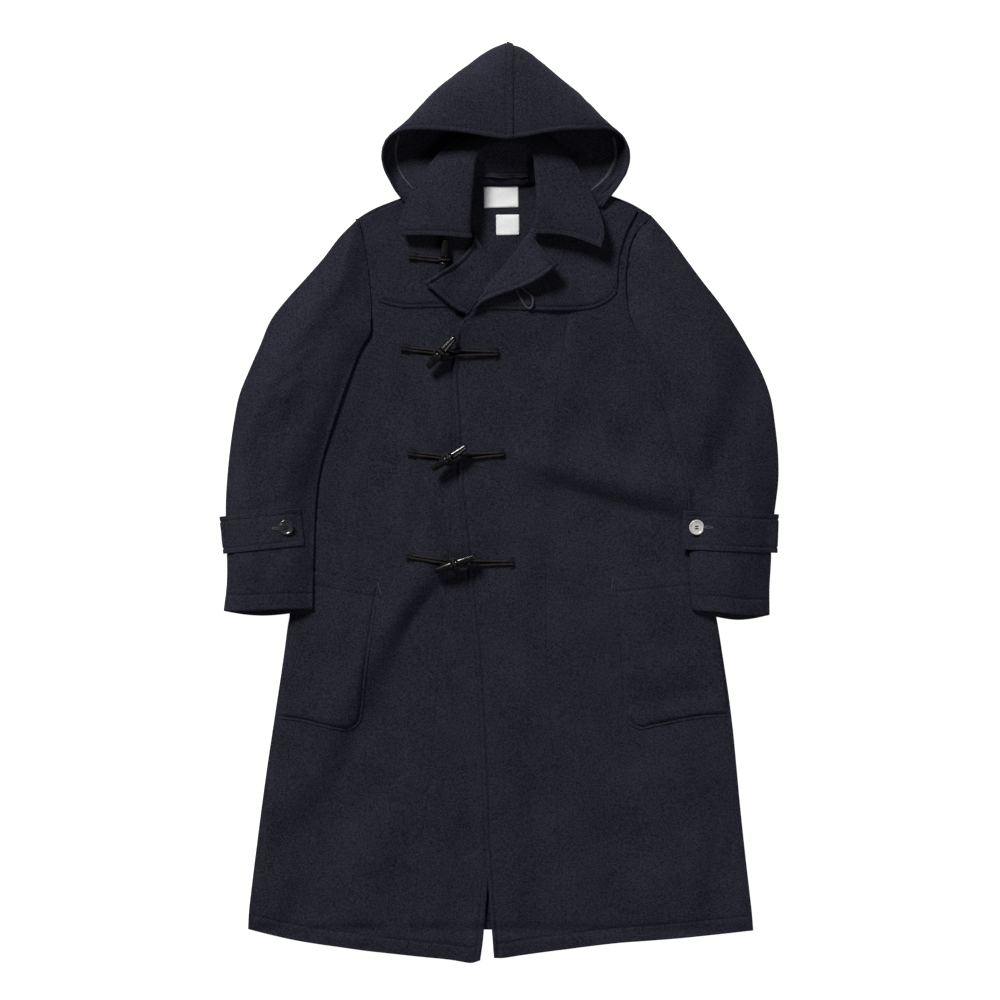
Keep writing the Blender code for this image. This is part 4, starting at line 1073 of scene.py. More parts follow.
def strap_grid(side):
    """Rows from the buttoned end to the sleeve's edge, round it, and down to the floor."""
    button_end, outer_end = (Vector((*at, 0)) for at in STRAP_MIDDLE[side])
    run = (outer_end - button_end).normalized()
    half = beside(run) * STRAP_WIDTH[side] / 2
    length = (outer_end - button_end).length
    last = STRAP_COLUMNS - 1
    grid = []
    for k in range(STRAP_COLUMNS):
        row = [button_end + run * (length * k / last) + half * (w / 2 - 1) for w in range(5)]
        for at in row:
            at.z = rest_height(at.x, at.y, [side + "_sleeve_upper"], margin=STRAP_MARGIN) + CLOTH / 2
        grid.append(row)
    level = min(p.z for p in grid[last]) - CLOTH / 2
    bend = STRAP_TURN + CLOTH / 2
    for k in range(1, 5):
        angle = math.pi / 2 * k / 4
        row = [start + run * bend * math.sin(angle) for start in grid[last]]
        for at, start in zip(row, grid[last]):
            at.z = start.z - bend * (1 - math.cos(angle)) * min(level / STRAP_TURN, 1.0)
        grid.append(row)
    grid.append([Vector((p.x, p.y, 0.4)) for p in grid[-1]])
    return np.array([[p[:] for p in row] for row in grid])


def resampled(lines, spans, near, start, far, count):
    """Points on lines of given lengths: near ones from the first end, count spaces from start, far ones from
    the other end. Also how far they all are from both ends."""
    places = []
    for k, span in enumerate(spans):
        middle = np.linspace(start[k], span - far[-1], count + 1)[1:-1]
        places.append(np.concatenate([near[k], middle, [span - e for e in reversed(far)]]))
    places = np.array(places)
    points = np.array([sample(line, at) for line, at in zip(lines, places)])
    return points, places, np.array(spans)[:, None] - places


def refine_past(control, ridge, far, step):
    """Resamples a control grid across, with one line of points on the ridge, and with far as in refine."""
    fine = 900
    lines = [curve(row, count=fine) for row in control]
    spans = [distances(line)[-1] for line in lines]
    peaks = [np.argmin(np.linalg.norm(line - row[ridge], axis=1)) * span / fine
             for line, row, span in zip(lines, control, spans)]
    first = int(round(np.mean(peaks) / step))
    second = int(round((np.mean(spans) - np.mean(peaks) - max(far)) / step))
    near = [np.linspace(0, peak, first + 1) for peak in peaks]
    return resampled(lines, spans, near, peaks, far, second)[::2]


def refine(control, axis, near, far, step):
    """Resamples a control grid along one axis; near and far are distances kept close to its two edges."""
    grid = control if axis == 1 else control.transpose(1, 0, 2)
    lines = [curve(row, count=500) for row in grid]
    spans = [distances(line)[-1] for line in lines]
    count = max(int(round((np.mean(spans) - near[-1] - far[-1]) / step)), 2)
    every = len(lines)
    result, from_near, from_far = resampled(lines, spans, [near] * every, [near[-1]] * every, far, count)
    if axis == 1:
        return result, from_near, from_far
    return result.transpose(1, 0, 2), from_near.T, from_far.T


def spread(field, grid_shape):
    """A per-line field of distances, resampled to a refined grid's shape along the first axis."""
    rows = np.linspace(0, len(field) - 1, grid_shape[0])
    low = np.floor(rows).astype(int)
    high = np.minimum(low + 1, len(field) - 1)
    t = (rows - low)[:, None]
    return field[low] * (1 - t) + field[high] * t


shells = {}


def shell(name, node, grid, thick, edge, look, stitch=None, puff=0.0, relief=None,
          weave=0.0, flip=False, rim=None):
    """A closed shell round a grid of middle points. edge: distance of each point from the nearest edge."""
    rows, columns = grid.shape[:2]
    half = thick / 2
    rim = rim or half
    normal = unit(np.cross(np.gradient(grid, axis=1), np.gradient(grid, axis=0))) * (-1 if flip else 1)
    thickness = np.where(edge < rim, half * np.sqrt(np.maximum(1 - ((rim - edge) / rim)**2, 0)), half)
    if stitch:
        thickness += puff * np.exp(-((edge - stitch * 0.45) / (stitch * 0.32))**2)
        thickness -= GROOVE * np.exp(-((edge - stitch) / GROOVE_WIDE)**2)
    if relief is not None:
        grid = grid + normal * relief[..., None]
    over = grid + normal * thickness[..., None]
    under = grid - normal * np.minimum(thickness, half)[..., None]
    verts = np.vstack([over.reshape(-1, 3), under.reshape(-1, 3)])
    verts[:, 2] = np.maximum(verts[:, 2], LEAST)
    n = rows * columns
    faces = []
    for a in (j * columns + i for j in range(rows - 1) for i in range(columns - 1)):
        quad = (a, a + 1, a + columns + 1, a + columns)
        faces += [quad, tuple(n + k for k in reversed(quad))]
    ids = np.arange(n).reshape(rows, columns)
    border = [*ids[0], *ids[1:, -1], *ids[-1, -2::-1], *ids[-2:0:-1, 0]]
    border = [int(k) for k in border]
    faces += [(b, a, n + a, n + b) for a, b in zip(border, border[1:] + border[:1])]
    u = np.cumsum(np.linalg.norm(np.diff(grid, axis=0, prepend=grid[:1]), axis=2).mean(1))
    v = np.cumsum(np.linalg.norm(np.diff(grid, axis=1, prepend=grid[:, :1]), axis=2).mean(0))
    uv = turned_weave(*np.meshgrid(u, v, indexing="ij"), weave).reshape(-1, 2)
    thing = object_from(name, verts, faces, np.vstack([uv, uv]), look)
    face_outwards(thing, weld_at=2e-6)
    if node:
        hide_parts(node)
    widths = np.linalg.norm(np.diff(grid, axis=1), axis=2)
    lengths = np.linalg.norm(np.diff(grid, axis=0), axis=2)
    cells = widths[:-1] * 0.5 * (lengths[:, 1:] + lengths[:, :-1])
    shells[name] = {"over": over, "normal": normal, "area": float(cells.sum()) * 1e-6, "thing": thing,
                    "grid": grid, "size": (float(u[-1]) * MM, float(v[-1]) * MM)}
    return shells[name]


NEAR_EDGE = [0.0, 0.25, 0.8, 1.6, 2.6, 4.6, 5.9, 7.4, 8.9, 10.4]   # lines of points beside a sewn edge
STITCHED = 7                           # the one of them that is sewn
HOOD_SEAM = [0.0, 0.3, 1.0, 2.0, 5.0, 8.2, 9.6, 10.4, 11.2, 12.0, 13.2]
SEAM_STITCH = 10.8     # the hood's centre seam is turned to the left and sewn down
STRAP_EDGE = [0.0, 0.25, 0.8, 1.6, 2.6, 4.6, 6.1, 7.4, 8.7, 10.2]


def grid_lumps(grid, height=1.0):
    x, y, z = np.moveaxis(grid, -1, 0)
    return height * (waves(x + 0.6 * z, y + 0.8 * z, LUMPS) + 0.5 * waves(x + z, y - z, WAVES))


def make_collar():
    fine, from_edge = refine_past(collar_grid(), 3, NEAR_EDGE, 1.5)
    fine, from_first, from_last = refine(fine, 0, NEAR_EDGE, NEAR_EDGE, 3.0)
    edge = np.min([from_first, from_last, spread(from_edge, fine.shape)], axis=0)
    shell("collar_cloth", "collar", fine, DOUBLE, edge, wool, stitch=EDGE_STITCH, puff=1.7,
          relief=0.3 * grid_lumps(fine), weave=40)


def make_hood(side):
    fine, from_rim, _ = refine(hood_grid(side), 1, NEAR_EDGE, [0.0], 3.2)
    fine, from_seam, _ = refine(fine, 0, HOOD_SEAM, [0.0], 3.4)
    from_rim = spread(from_rim, fine.shape)
    relief = grid_lumps(fine, 1.3)
    if side == "left":
        relief += 2.1 * smooth((11.6 - from_seam) / 1.8) - 1.0 * np.exp(-((from_seam - SEAM_STITCH) / 1.0)**2)
    relief += 1.0 * np.exp(-((from_rim - 3.6) / 2.2)**2) - 0.8 * np.exp(-((from_rim - EDGE_STITCH) / 1.3)**2)
    edge = np.minimum(from_rim, from_seam + 0.35)
    one = shell(side + "_hood_cloth", side + "_hood", fine, CLOTH, edge, wool, relief=relief, weave=15,
                flip=side == "left")
    one["from_rim"] = from_rim


def make_strap(side):
    control = strap_grid(side)
    for point in control.reshape(-1, 3):
        under = surface(side + "_sleeve_upper", point[0], point[1])
        if under is not None and point[2] > 4.0:
            point[2] = max(point[2], under + CLOTH / 2 + SEAM)
    fine, from_low, from_high = refine(control, 1, STRAP_EDGE, STRAP_EDGE, 2.6)
    fine, from_end, _ = refine(fine, 0, NEAR_EDGE, [0.0], 2.6)
    edge = np.min([spread(from_low, fine.shape), spread(from_high, fine.shape), from_end], axis=0)
    shell(side + "_cuff_strap_cloth", side + "_cuff_strap", fine, CLOTH, edge, wool, stitch=EDGE_STITCH,
          puff=1.5, relief=0.8 + 0.6 * grid_lumps(fine), weave=60)


make_collar()
for side, _ in SIDES:
    make_hood(side)
    make_strap(side)


# ---- thread

UP = np.array((0.0, 0.0, 1.0))
UNDER_CLOTH = 1.0      # a stitch that lies deeper than this under other cloth isn't made
FEWEST = 3             # and neither is a row of no more points than this


def upright(path):
    """A path of points, with straight up as the direction away from the cloth at each."""
    return path, np.tile(UP, (len(path), 1))


def sew(name, paths, look, pitch=PITCH, wide=THREAD, gap=0.9, sink=0.12):
    """Rows of stitches along paths of (point, up) arrays, as one mesh of small capsules."""
    sides = 5
    stitches = []
    for path, up in paths:
        total = distances(path)[-1]
        count = int(total / pitch)
        if count < 1:
            continue
        starts = np.arange(count) * pitch + (total - count * pitch) / 2
        rings = []
        for share, plump, rise in ((0.0, 0.5, -sink), (0.22, 1, 0.16), (0.78, 1, 0.16), (1.0, 0.5, -sink)):
            at = starts + (pitch - gap) * share
            n = sample(path, at, up)
            side = unit(np.cross(n, sample(path, at + 0.5) - sample(path, at - 0.5)))
            rings.append(tube_points(sample(path, at) + n * rise, side, 0.8 * n, wide * plump, sides))
        stitches.append(np.stack(rings, axis=1).reshape(-1, 3))
    verts = np.vstack(stitches)
    faces = [face for base in range(0, len(verts), 4 * sides) for face in tube_faces(4, sides, base)]
    return object_from(name, verts, faces, verts[:, :2] * MM, look)


def on_panel(name, line):
    """A stitch line in plan as a path on a dressed panel, with its up directions."""
    line = along(np.column_stack([line[:, :2], np.zeros(len(line))]), step=2.0)
    path = [(x, y, surface(name, x, y)) for x, y, _ in line]
    return upright(np.array([p for p in path if p[2] is not None], float))


def hidden(path, others):
    """Which points of a path lie under other dressed panels."""
    return np.array([top_surface(others, x, y, z) > z + UNDER_CLOTH for x, y, z in path], bool)


COVERS = {
    "right_front_centre": ["left_front_centre", "right_lapel", "left_lapel", "right_yoke", "right_pocket"],
    "right_front_side": ["right_yoke", "right_pocket", "right_sleeve_upper"],
    "left_front_centre": ["left_lapel", "left_yoke"], "left_front_side": ["left_yoke", "left_sleeve_upper"],
    "right_yoke": ["right_lapel", "left_lapel", "left_front_centre"], "left_yoke": ["left_lapel"]}
for name, panel in panels.items():
    paths = []
    for line in panel["lines"]:
        path, up = on_panel(name, line)
        hide = hidden(path, COVERS.get(name, ()))
        cuts = np.nonzero(np.diff(np.concatenate([[1], hide.astype(int), [1]])))[0]
        paths += [(path[a:b], up[a:b]) for a, b in zip(cuts[::2], cuts[1::2]) if b - a > FEWEST]
    if paths:
        sew(name + "_stitching", paths, navy_thread)


def sew_run(name, one, run):
    """Stitches along (row, column) places of a shell's upper face."""
    at = tuple(np.array(run).T)
    sew(name, [(one["over"][at], one["normal"][at])], navy_thread)


def stitch_collar():
    one = shells["collar_cloth"]
    rows, columns = one["over"].shape[:2]
    first_row, last_row, last_column = STITCHED, rows - 1 - STITCHED, columns - 1 - STITCHED
    roll = int(np.argmax(one["over"][rows // 2, :, 2]))
    sew_run("collar_stitching", one, [(first_row, c) for c in range(roll + 2, last_column)]
            + [(r, last_column) for r in range(first_row, last_row)]
            + [(last_row, c) for c in range(last_column, roll + 1, -1)])


def stitch_strap(side):
    one = shells[side + "_cuff_strap_cloth"]
    rows, columns = one["over"].shape[:2]
    low, high = STITCHED, columns - 1 - STITCHED
    sew_run(side + "_cuff_strap_stitching", one, [(r, low) for r in range(rows - 4, STITCHED, -1)]
            + [(STITCHED, c) for c in range(low, high)] + [(r, high) for r in range(STITCHED, rows - 4)])


def stitch_hood(side):
    over, normal = (shells[side + "_hood_cloth"][key] for key in ("over", "normal"))
    paths = [(over[1:, STITCHED], normal[1:, STITCHED])]
    if side == "left":
        paths.append(((over[7, 8:] + over[8, 8:]) / 2, normal[7, 8:]))
    sew(side + "_hood_stitching", paths, navy_thread)


stitch_collar()
for side, _ in SIDES:
    stitch_strap(side)
    stitch_hood(side)


# ---- toggles and cords

CORD = 1.75            # radius of a cord
CORD_APART = 2.1       # half the distance of its two strands where they are sewn
LOOP_APART = 7.3       # and where a loop passes its toggle
# Columns: place of the waist, direction, height, tilt, length, sewn end of its cord, sewn end of its loop
TOGGLES = [
    ((-81, 356), 84, 17.6, 4, 60, (-131, 361), None),
    ((-85, 220), 48, 22.6, 5, 60, (-143, 227), (-2, 219)),
    ((-73, 66), 35, 22.6, 5, 61, (-133, 73), (7, 72)),
    ((-65, -89), 20, 22.6, 5, 65, (-135, -78), (21, -88)),
]
# Share of the half length from the waist out, and radius there
TOGGLE_GROOVE = [
    (0.0, 4.35), (0.035, 4.2), (0.05, 4.45), (0.065, 4.2), (0.10, 4.4), (0.125, 5.6), (0.15, 6.5),
    (0.175, 6.75), (0.21, 6.7), (0.30, 6.5), (0.46, 6.05), (0.62, 5.5), (0.78, 4.95), (0.90, 4.45),
    (0.955, 4.1), (0.985, 3.5), (0.997, 2.5), (1.0, 1.2)]
TOP_LOOP = [(20, 322), (27, 306), (40, 286), (46, 285), (49, 292), (48, 301), (37, 311), (28, 322)]


def frame_of(angle, tilt):
    turn, rise = math.radians(angle), math.radians(tilt)
    axis = Vector((math.cos(turn) * math.cos(rise), math.sin(turn) * math.cos(rise), math.sin(rise)))
    side = Vector((-math.sin(turn), math.cos(turn), 0))
    return axis, side, axis.cross(side)


def settled(x, y, names):
    """How far the dressed cloth lies above its solid there."""
    dressed = highest(surface(n, x, y) for n in names)
    solid = highest(fall(tree(n), x, y) for n in names)
    return 0.0 if dressed is None or solid is None else dressed - solid


def make_toggle(number, waist, angle, height, tilt, length, lift):
    """Turned from horn, but neither quite round nor quite straight."""
    axis, side, up = frame_of(angle, tilt)
    centre = Vector((*waist, height + lift))
    half = curve([(s * length / 2, r) for s, r in TOGGLE_GROOVE], count=44)
    profile = [(-a, r) for a, r, _ in half[::-1]] + [(a, r) for a, r, _ in half[1:]]
    phase = number * 1.7
    turns = 40
    verts, uvs = [], []
    for at, radius in profile:
        bow = 0.25 * math.sin(at * 0.06 + phase)
        for k in range(turns):
            turn = 2 * math.pi * k / turns
            wobble = 1 + 0.012 * math.sin(at * 0.21 + phase) + 0.010 * math.sin(turn * 2 + phase)
            across, high = radius * math.cos(turn) * wobble + bow, radius * math.sin(turn) * wobble
            verts.append((centre + axis * at + side * across + up * high)[:])
            uvs.append((at * MM, 6 * turn * MM))
    name = "toggle_%d" % number
    faces = tube_faces(len(profile), turns)
    thing = object_from(name + "_horn", verts, faces, uvs, horn, smooth_angle=50)
    face_outwards(thing)
    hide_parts(name)


def braid(name, points, look, node):
    """A braided cord: a tube with two crossing families of raised yarns."""
    sides, step = 12, 0.8
    path = curve(points, step=step)
    ahead = unit(np.gradient(path, axis=0))
    side = unit(np.cross(ahead, UP))
    for k in range(1, len(side)):
        if np.dot(side[k], side[k - 1]) < 0:
            side[k] = -side[k]
    s = np.arange(len(path))[:, None] * step
    turn = 2 * math.pi * np.arange(sides) / sides
    yarn = np.maximum(np.cos(3 * turn + s * 2.1), np.cos(3 * turn - s * 2.1))
    verts = tube_points(path, side, np.cross(side, ahead), CORD * (0.93 + 0.10 * yarn), sides).reshape(-1, 3)
    uvs = np.stack(np.broadcast_arrays(s * MM, turn * CORD * MM), axis=-1).reshape(-1, 2)
    thing = object_from(name, verts, tube_faces(len(path), sides), uvs, look)
    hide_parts(node)


def cord_height(point, names):
    return rest_height(point[0], point[1], names, margin=CORD_MARGIN, slope=CORD_SLOPE) + CORD


def on_cloth(point, names):
    """The height of a cord's middle where it lies on dressed cloth."""
    return cord_height(point, names) + settled(point.x, point.y, names)


def make_toggle_cord(number, waist, angle, height, tilt, end, names, lift):
    axis, side, up = frame_of(angle, tilt)
    centre = Vector((*waist, height + lift))
    end, under = Vector((*end, 0)), Vector((*waist, 0))
    run = (under - end).normalized()
    apart = beside(run) * CORD_APART
    ring = 4.4 + 3 * SEAM + CORD       # round the horn's waist
    if side.dot(apart) < 0:
        side = -side
    stops = [end, end.lerp(under, 0.3), end.lerp(under, 0.6), under - run * 12, under - run * 5.5]
    out_strand = [at + apart for at in stops]
    back_strand = [at - apart for at in reversed(stops)]
    for point in out_strand + back_strand:
        point.z = on_cloth(point, names)
    around = []
    for degrees in range(150, -151, -30):
        turn = math.radians(degrees)
        lean = axis * (-0.9 * degrees / 150)
        around.append(centre + side * (ring * math.sin(turn)) + up * (ring * math.cos(turn)) + lean)
    if around[5].z < centre.z:
        around = [centre * 2 - p for p in around][::-1]
    braid("toggle_cord_%d_braid" % number, [p[:] for p in out_strand + around + back_strand], cord_brown,
          "toggle_cord_%d" % number)
    return end, run


def make_loop(number, waist, end, names):
    end, middle = Vector((*end, 0)), Vector((*waist, 0))
    run = (middle - end).normalized()
    across = beside(run)
    high = max(cord_height(middle + run * k, names) for k in (-4, 0, 4, 8)) + 2 * CORD + SEAM
    first, second = end.lerp(middle, 0.3), end.lerp(middle, 0.6)
    bend = middle + run * 8.8
    half = [
        (end, CORD_APART, on_cloth(end, names)),
        (first, CORD_APART + 0.4, on_cloth(first, names)),
        (second, 3.6, max(on_cloth(second, names), high - 1)),
        (middle - run * 6, 5.4, high),
        (middle + run * 3, LOOP_APART, high),
        (bend, 3.4, high),
    ]
    points = [at + across * apart + Vector((0, 0, z)) for at, apart, z in half]
    points.append(bend + run * 1.9 + Vector((0, 0, high)))
    points += [at - across * apart + Vector((0, 0, z)) for at, apart, z in reversed(half)]
    braid("loop_%d_braid" % number, [p[:] for p in points], cord_brown, "loop_%d" % number)
    return end, run


def tubes(name, paths, radius, look):
    """Thin round threads along short paths, joined into one mesh."""
    sides = 6
    verts, faces = [], []
    for path in paths:
        path = np.asarray(path, float)
        ahead = unit(np.gradient(path, axis=0))
        helper = UP if abs(ahead[:, 2]).max() < 0.95 else np.array((1.0, 0, 0))
        side = unit(np.cross(ahead, helper))
        faces += tube_faces(len(path), sides, len(verts))
        verts.extend(tube_points(path, side, np.cross(side, ahead), radius, sides).reshape(-1, 3))
    verts = np.array(verts)
    object_from(name, verts, faces, verts[:, :2] * MM, look)


def thread_bar(name, middle, way, long, wide, level_of, look, spacing, radius):
    """A dense bar of satin stitches: its threads run along way, side by side across it."""
    across = beside(way)
    count = int(long / spacing)
    paths = []
    for k in range(count + 1):
        shake = rng.uniform(-0.25, 0.25)
        row = []
        for t in np.linspace(-0.5, 0.5, 7):
            at = middle + across * ((k / count - 0.5) * long) + way * (t * (wide + shake))
            row.append((at.x, at.y, level_of(at) + 0.45 * math.cos(math.pi * t) + 0.1))
        row = np.array(row)
        row[[0, -1], 2] -= 0.7
        paths.append(row)
    tubes(name, paths, radius, look)


def cord_profile(end, run, names):
    """Height of the top of a sewn cord end and of the cloth beside it."""
    across = beside(run)

    def level(at):
        v = (at - end).dot(across)
        flat = on_cloth(at, names) - CORD
        arches = [flat]
        for d in (abs(v - CORD_APART), abs(v + CORD_APART)):
            if d < CORD:
                arches.append(flat + CORD + math.sqrt(CORD**2 - d**2))
        if abs(v) < CORD_APART:
            arches.append(flat + 2.4)
        return max(arches)

    return level


def cross_stitch(name, end, run, names):
    """Toggle cords: both strands held by a box of stitches with a cross in it."""
    level = cord_profile(end, run, names)
    across = beside(run)
    middle = end + run * 4.5
    high, wide = 14.0 / 2, 10.5 / 2
    paths = []

    def line(a, b, lift=0.0):
        row = []
        for t in np.linspace(0, 1, 14):
            at = middle + run * (a[0] + (b[0] - a[0]) * t) + across * (a[1] + (b[1] - a[1]) * t)
            row.append((at.x, at.y, level(at) + 0.28 + lift))
        paths.append(row)

    for v in np.arange(-high, high + 0.1, 0.62):
        line((-wide, v), (wide, v))
    for k in range(4):
        u = -wide + k * 0.55
        line((u, -high), (u, high), 0.35)
        line((-u, -high), (-u, high), 0.35)
    for k in range(5):
        shift = (k - 2) * 0.6
        line((-wide + 1 + shift, -high), (wide - 1 + shift, high), 0.7)
        line((-wide + 1 + shift, high), (wide - 1 + shift, -high), 1.0)
    tubes(name, paths, 0.34, black_thread)


RIGHT_BODY = ["right_front_centre", "right_front_side"]
LAPPED = RIGHT_BODY + ["left_front_centre"]
for number, (waist, angle, height, tilt, length, cord_end, loop_end) in enumerate(TOGGLES):
    names = RIGHT_BODY if number else ["right_yoke"]
    lift = settled(*waist, LAPPED if number else names)
    make_toggle(number, waist, angle, height, tilt, length, lift)
    end, run = make_toggle_cord(number, waist, angle, height, tilt, cord_end, names, lift)
    cross_stitch("toggle_cord_%d_stitching" % number, end, run, names)
    if loop_end:
        end, run = make_loop(number, waist, loop_end, LAPPED)
        thread_bar("loop_%d_bar_tack" % number, end + run * 2.6, run, 16.0, 6.4,
                   cord_profile(end, run, LAPPED), black_thread, spacing=0.6, radius=0.36)

LEFT_CHEST = ["left_front_centre", "left_front_side", "left_yoke"]
braid("loop_0_braid", [(x, y, rest_height(x, y, LEFT_CHEST) + CORD + settled(x, y, ["left_yoke"]))
                       for x, y in TOP_LOOP], cord_grey, "loop_0")


# ---- buttons and buttonholes

BUTTON_RADIUS = 11.0
BUTTON_AT = {"right": (-312, -36), "left": (289, -36)}
# Height over the strap, and distance in from the radius, from the back round the rim to the dish
BUTTON_PROFILE = [(0.0, 8.0), (0.0, 1.9), (0.35, 1.1), (1.1, 0.35), (2.0, 0.0), (2.55, 0.15), (2.95, 0.7),
                  (3.05, 1.3), (2.95, 1.9), (2.6, 2.5), (2.25, 3.1), (2.05, 3.9), (2.0, 4.8)]
HOLE_OUT = 2.4         # distance of its four holes from the middle
HOLE_RADIUS = 1.05


def circle(x, y, radius, count, start=0.0):
    """Points round a place in plan."""
    turns = [start + 2 * math.pi * k / count for k in range(count)]
    return [(x + radius * math.cos(turn), y + radius * math.sin(turn)) for turn in turns]


def make_button(side, look):
    x, y = BUTTON_AT[side]
    strap = shells[side + "_cuff_strap_cloth"]["over"].reshape(-1, 3)
    under = strap[np.linalg.norm(strap[:, :2] - np.array((x, y)), axis=1) < BUTTON_RADIUS]
    base = float(under[:, 2].max()) + 0.1
    turns, hole_sides = 64, 16
    profile = curve([(BUTTON_RADIUS - d, z) for z, d in BUTTON_PROFILE], count=46)
    level = base + profile[-1][1]
    verts = [(*p, base + z) for r, z, _ in profile for p in circle(x, y, r, turns)]
    dish = len(verts) - turns
    faces = [f[::-1] for f in tube_faces(len(profile), turns)[:-1]]
    flat = [Vector(v[:2]) for v in verts[dish:]]
    loops = [list(range(turns))]
    centres = np.array(circle(x, y, HOLE_OUT, 4, math.pi / 4))
    for centre in centres:
        loops.append(list(range(len(flat), len(flat) + hole_sides))[::-1])
        flat += [Vector(p) for p in circle(*centre, HOLE_RADIUS, hole_sides)]
    edges = [(a, b) for ring in loops for a, b in zip(ring, ring[1:] + ring[:1])]
    places, _, triangles, origins, _, _ = delaunay_2d_cdt(flat, edges, [], 0, 1e-6)
    index = []
    for at, o in zip(places, origins):
        if o and o[0] < turns:
            index.append(dish + o[0])
        else:
            index.append(len(verts))
            verts.append((at.x, at.y, level))
    for tri in triangles:
        middle = np.mean([places[k][:] for k in tri], axis=0)
        if np.linalg.norm(centres - middle, axis=1).min() > HOLE_RADIUS:
            faces.append(tuple(index[k] for k in tri))
    by_flat = {o[0]: index[k] for k, o in enumerate(origins) if o}
    for ring in loops[1:]:
        tops = [by_flat[i] for i in reversed(ring)]
        bottoms = list(range(len(verts), len(verts) + hole_sides))
        verts += [(verts[i][0], verts[i][1], base + 0.15) for i in tops]
        faces += [(tops[a - 1], tops[a], bottoms[a], bottoms[a - 1]) for a in range(hole_sides)]
        faces.append(tuple(bottoms))
    verts = np.array(verts)
    thing = object_from(side + "_cuff_button_turned", verts, faces, verts[:, :2] * MM, look,
                        smooth_angle=35)
    face_outwards(thing)
    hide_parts(side + "_cuff_button")
    paths = []
    for start, end in ((centres[0], centres[1]), (centres[3], centres[2])):
        ahead = unit(end - start)
        for k in range(4):
            offset = np.array((-ahead[1], ahead[0])) * ((k - 1.5) * 0.34)
            row = []
            for t in np.linspace(-0.12, 1.12, 9):
                rise = 0.35 + 0.15 * math.sin(math.pi * t) if 0 <= t <= 1 else -0.9
                row.append((*(start + (end - start) * t + offset), level + rise))
            paths.append(row)
    tubes(side + "_cuff_button_thread", paths, 0.2, black_thread)


def heights_of(shell_name):
    """A function that gives the height of a shell's upper face, or None."""
    face = BVHTree.FromObject(shells[shell_name]["thing"], bpy.context.evaluated_depsgraph_get())

    def height(x, y):
        hit = face.ray_cast((Vector((x, y, ABOVE)) + Vector(MIDDLE)) * MM, DOWN)[0]
        return None if hit is None else hit.z / MM

    return height


def make_buttonhole(side, x0, x1, y):
    """A slit beside the button, its edge covered in purl stitches."""
    height = heights_of(side + "_cuff_strap_cloth")
    middle, half = (x0 + x1) / 2, (x1 - x0) / 2
    count = 44
    paths = []
    for k in range(count):
        turn = 2 * math.pi * k / count
        start = Vector((middle + max(half - 1.2, 0.5) * math.cos(turn), y + 0.15 * math.sin(turn)))
        out = Vector((math.cos(turn) * 0.9, math.sin(turn))).normalized()
        row = []
        for t in np.linspace(0.25, 2.3, 5):
            at = start + out * t
            row.append((at.x, at.y, (height(at.x, at.y) or 0.0) + 0.30 - 0.35 * abs(t - 1.2)))
        paths.append(row)
    tubes(side + "_buttonhole", paths, 0.32, buttonhole_thread)


make_button("right", button_dark)
make_button("left", button_light)
make_buttonhole("right", -331.5, -320.5, -37.5)
make_buttonhole("left", 300.5, 311.5, -36.0)


# ---- labels and hanger

LABELS = {"size_label": ((2.5, 449), (52, 32)), "care_label": ((12.5, 408), (35, 31))}
LABEL_THICK = 0.6
HANGER = ((10, 481.5), (66, 7))


def rounded(cx, cy, width, height, radius):
    """A rectangle with rounded corners, as a closed path."""
    count = 6
    ring = []
    for qx, qy, start in ((1, -1, -90), (1, 1, 0), (-1, 1, 90), (-1, -1, 180)):
        for k in range(count + 1):
            a = math.radians(start + 90 * k / count)
            ring.append((cx + qx * (width / 2 - radius) + radius * math.cos(a),
                         cy + qy * (height / 2 - radius) + radius * math.sin(a), 0.0))
    return np.array(ring + ring[:1])


def make_label(node, tilt):
    (cx, cy), (width, height) = LABELS[node]
    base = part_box(node)[0][2] / MM
    ring = along(rounded(cx, cy, width - 0.6, height - 0.6, 1.6), step=1.2)[:-1, :2]
    places, faces, _ = triangulate(ring, within(hexes(ring, 1.5), ring, 0.9))
    xy = np.array([p[:] for p in places])
    near = distance_to(xy, ring, closed=True)[0]
    u, v = xy[:, 0] - cx, xy[:, 1] - cy
    wave = 0.35 * np.sin(u * 0.16 + v * 0.1) + 0.25 * np.sin(v * 0.22 - u * 0.07)
    lift = 0.45 + wave * smooth(near / 6) - 0.25 * np.exp(-((near - 1.9) / 0.7)**2)
    border = near < 1e-3
    z = base + LABEL_THICK + np.maximum(lift, 0) * 0.8 - border * LABEL_THICK / 2
    c, s = math.cos(math.radians(tilt)), math.sin(math.radians(tilt))
    around = np.array((cx, cy))

    def spun(points):
        return (points[:, :2] - around) @ np.array(((c, s), (-s, c))) + around

    top = np.column_stack([spun(xy), z])
    # The underside shares the border's points
    inner = np.nonzero(~border)[0]
    ids = np.arange(len(top))
    ids[inner] = len(top) + np.arange(len(inner))
    verts = np.vstack([top, top[inner] - (0, 0, LABEL_THICK)])
    all_faces = [list(f) for f in faces] + [[int(ids[k]) for k in reversed(f)] for f in faces]
    thing = object_from(node + "_bare", verts, all_faces, verts[:, :2] * MM, label_look)
    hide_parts(node)
    line = rounded(cx, cy, width - 4.4, height - 4.4, 0.8)
    line[:, :2] = spun(line)
    face = BVHTree.FromPolygons([Vector(p) for p in top], faces)
    path = [(x, y, highest([fall(face, x, y)], base + LABEL_THICK) + 0.02)
            for x, y, _ in along(line, step=1.0)]
    thread = sew(node + "_stitching", [upright(np.array(path))], label_thread,
                 pitch=2.4, wide=0.24, gap=0.6, sink=0.1)


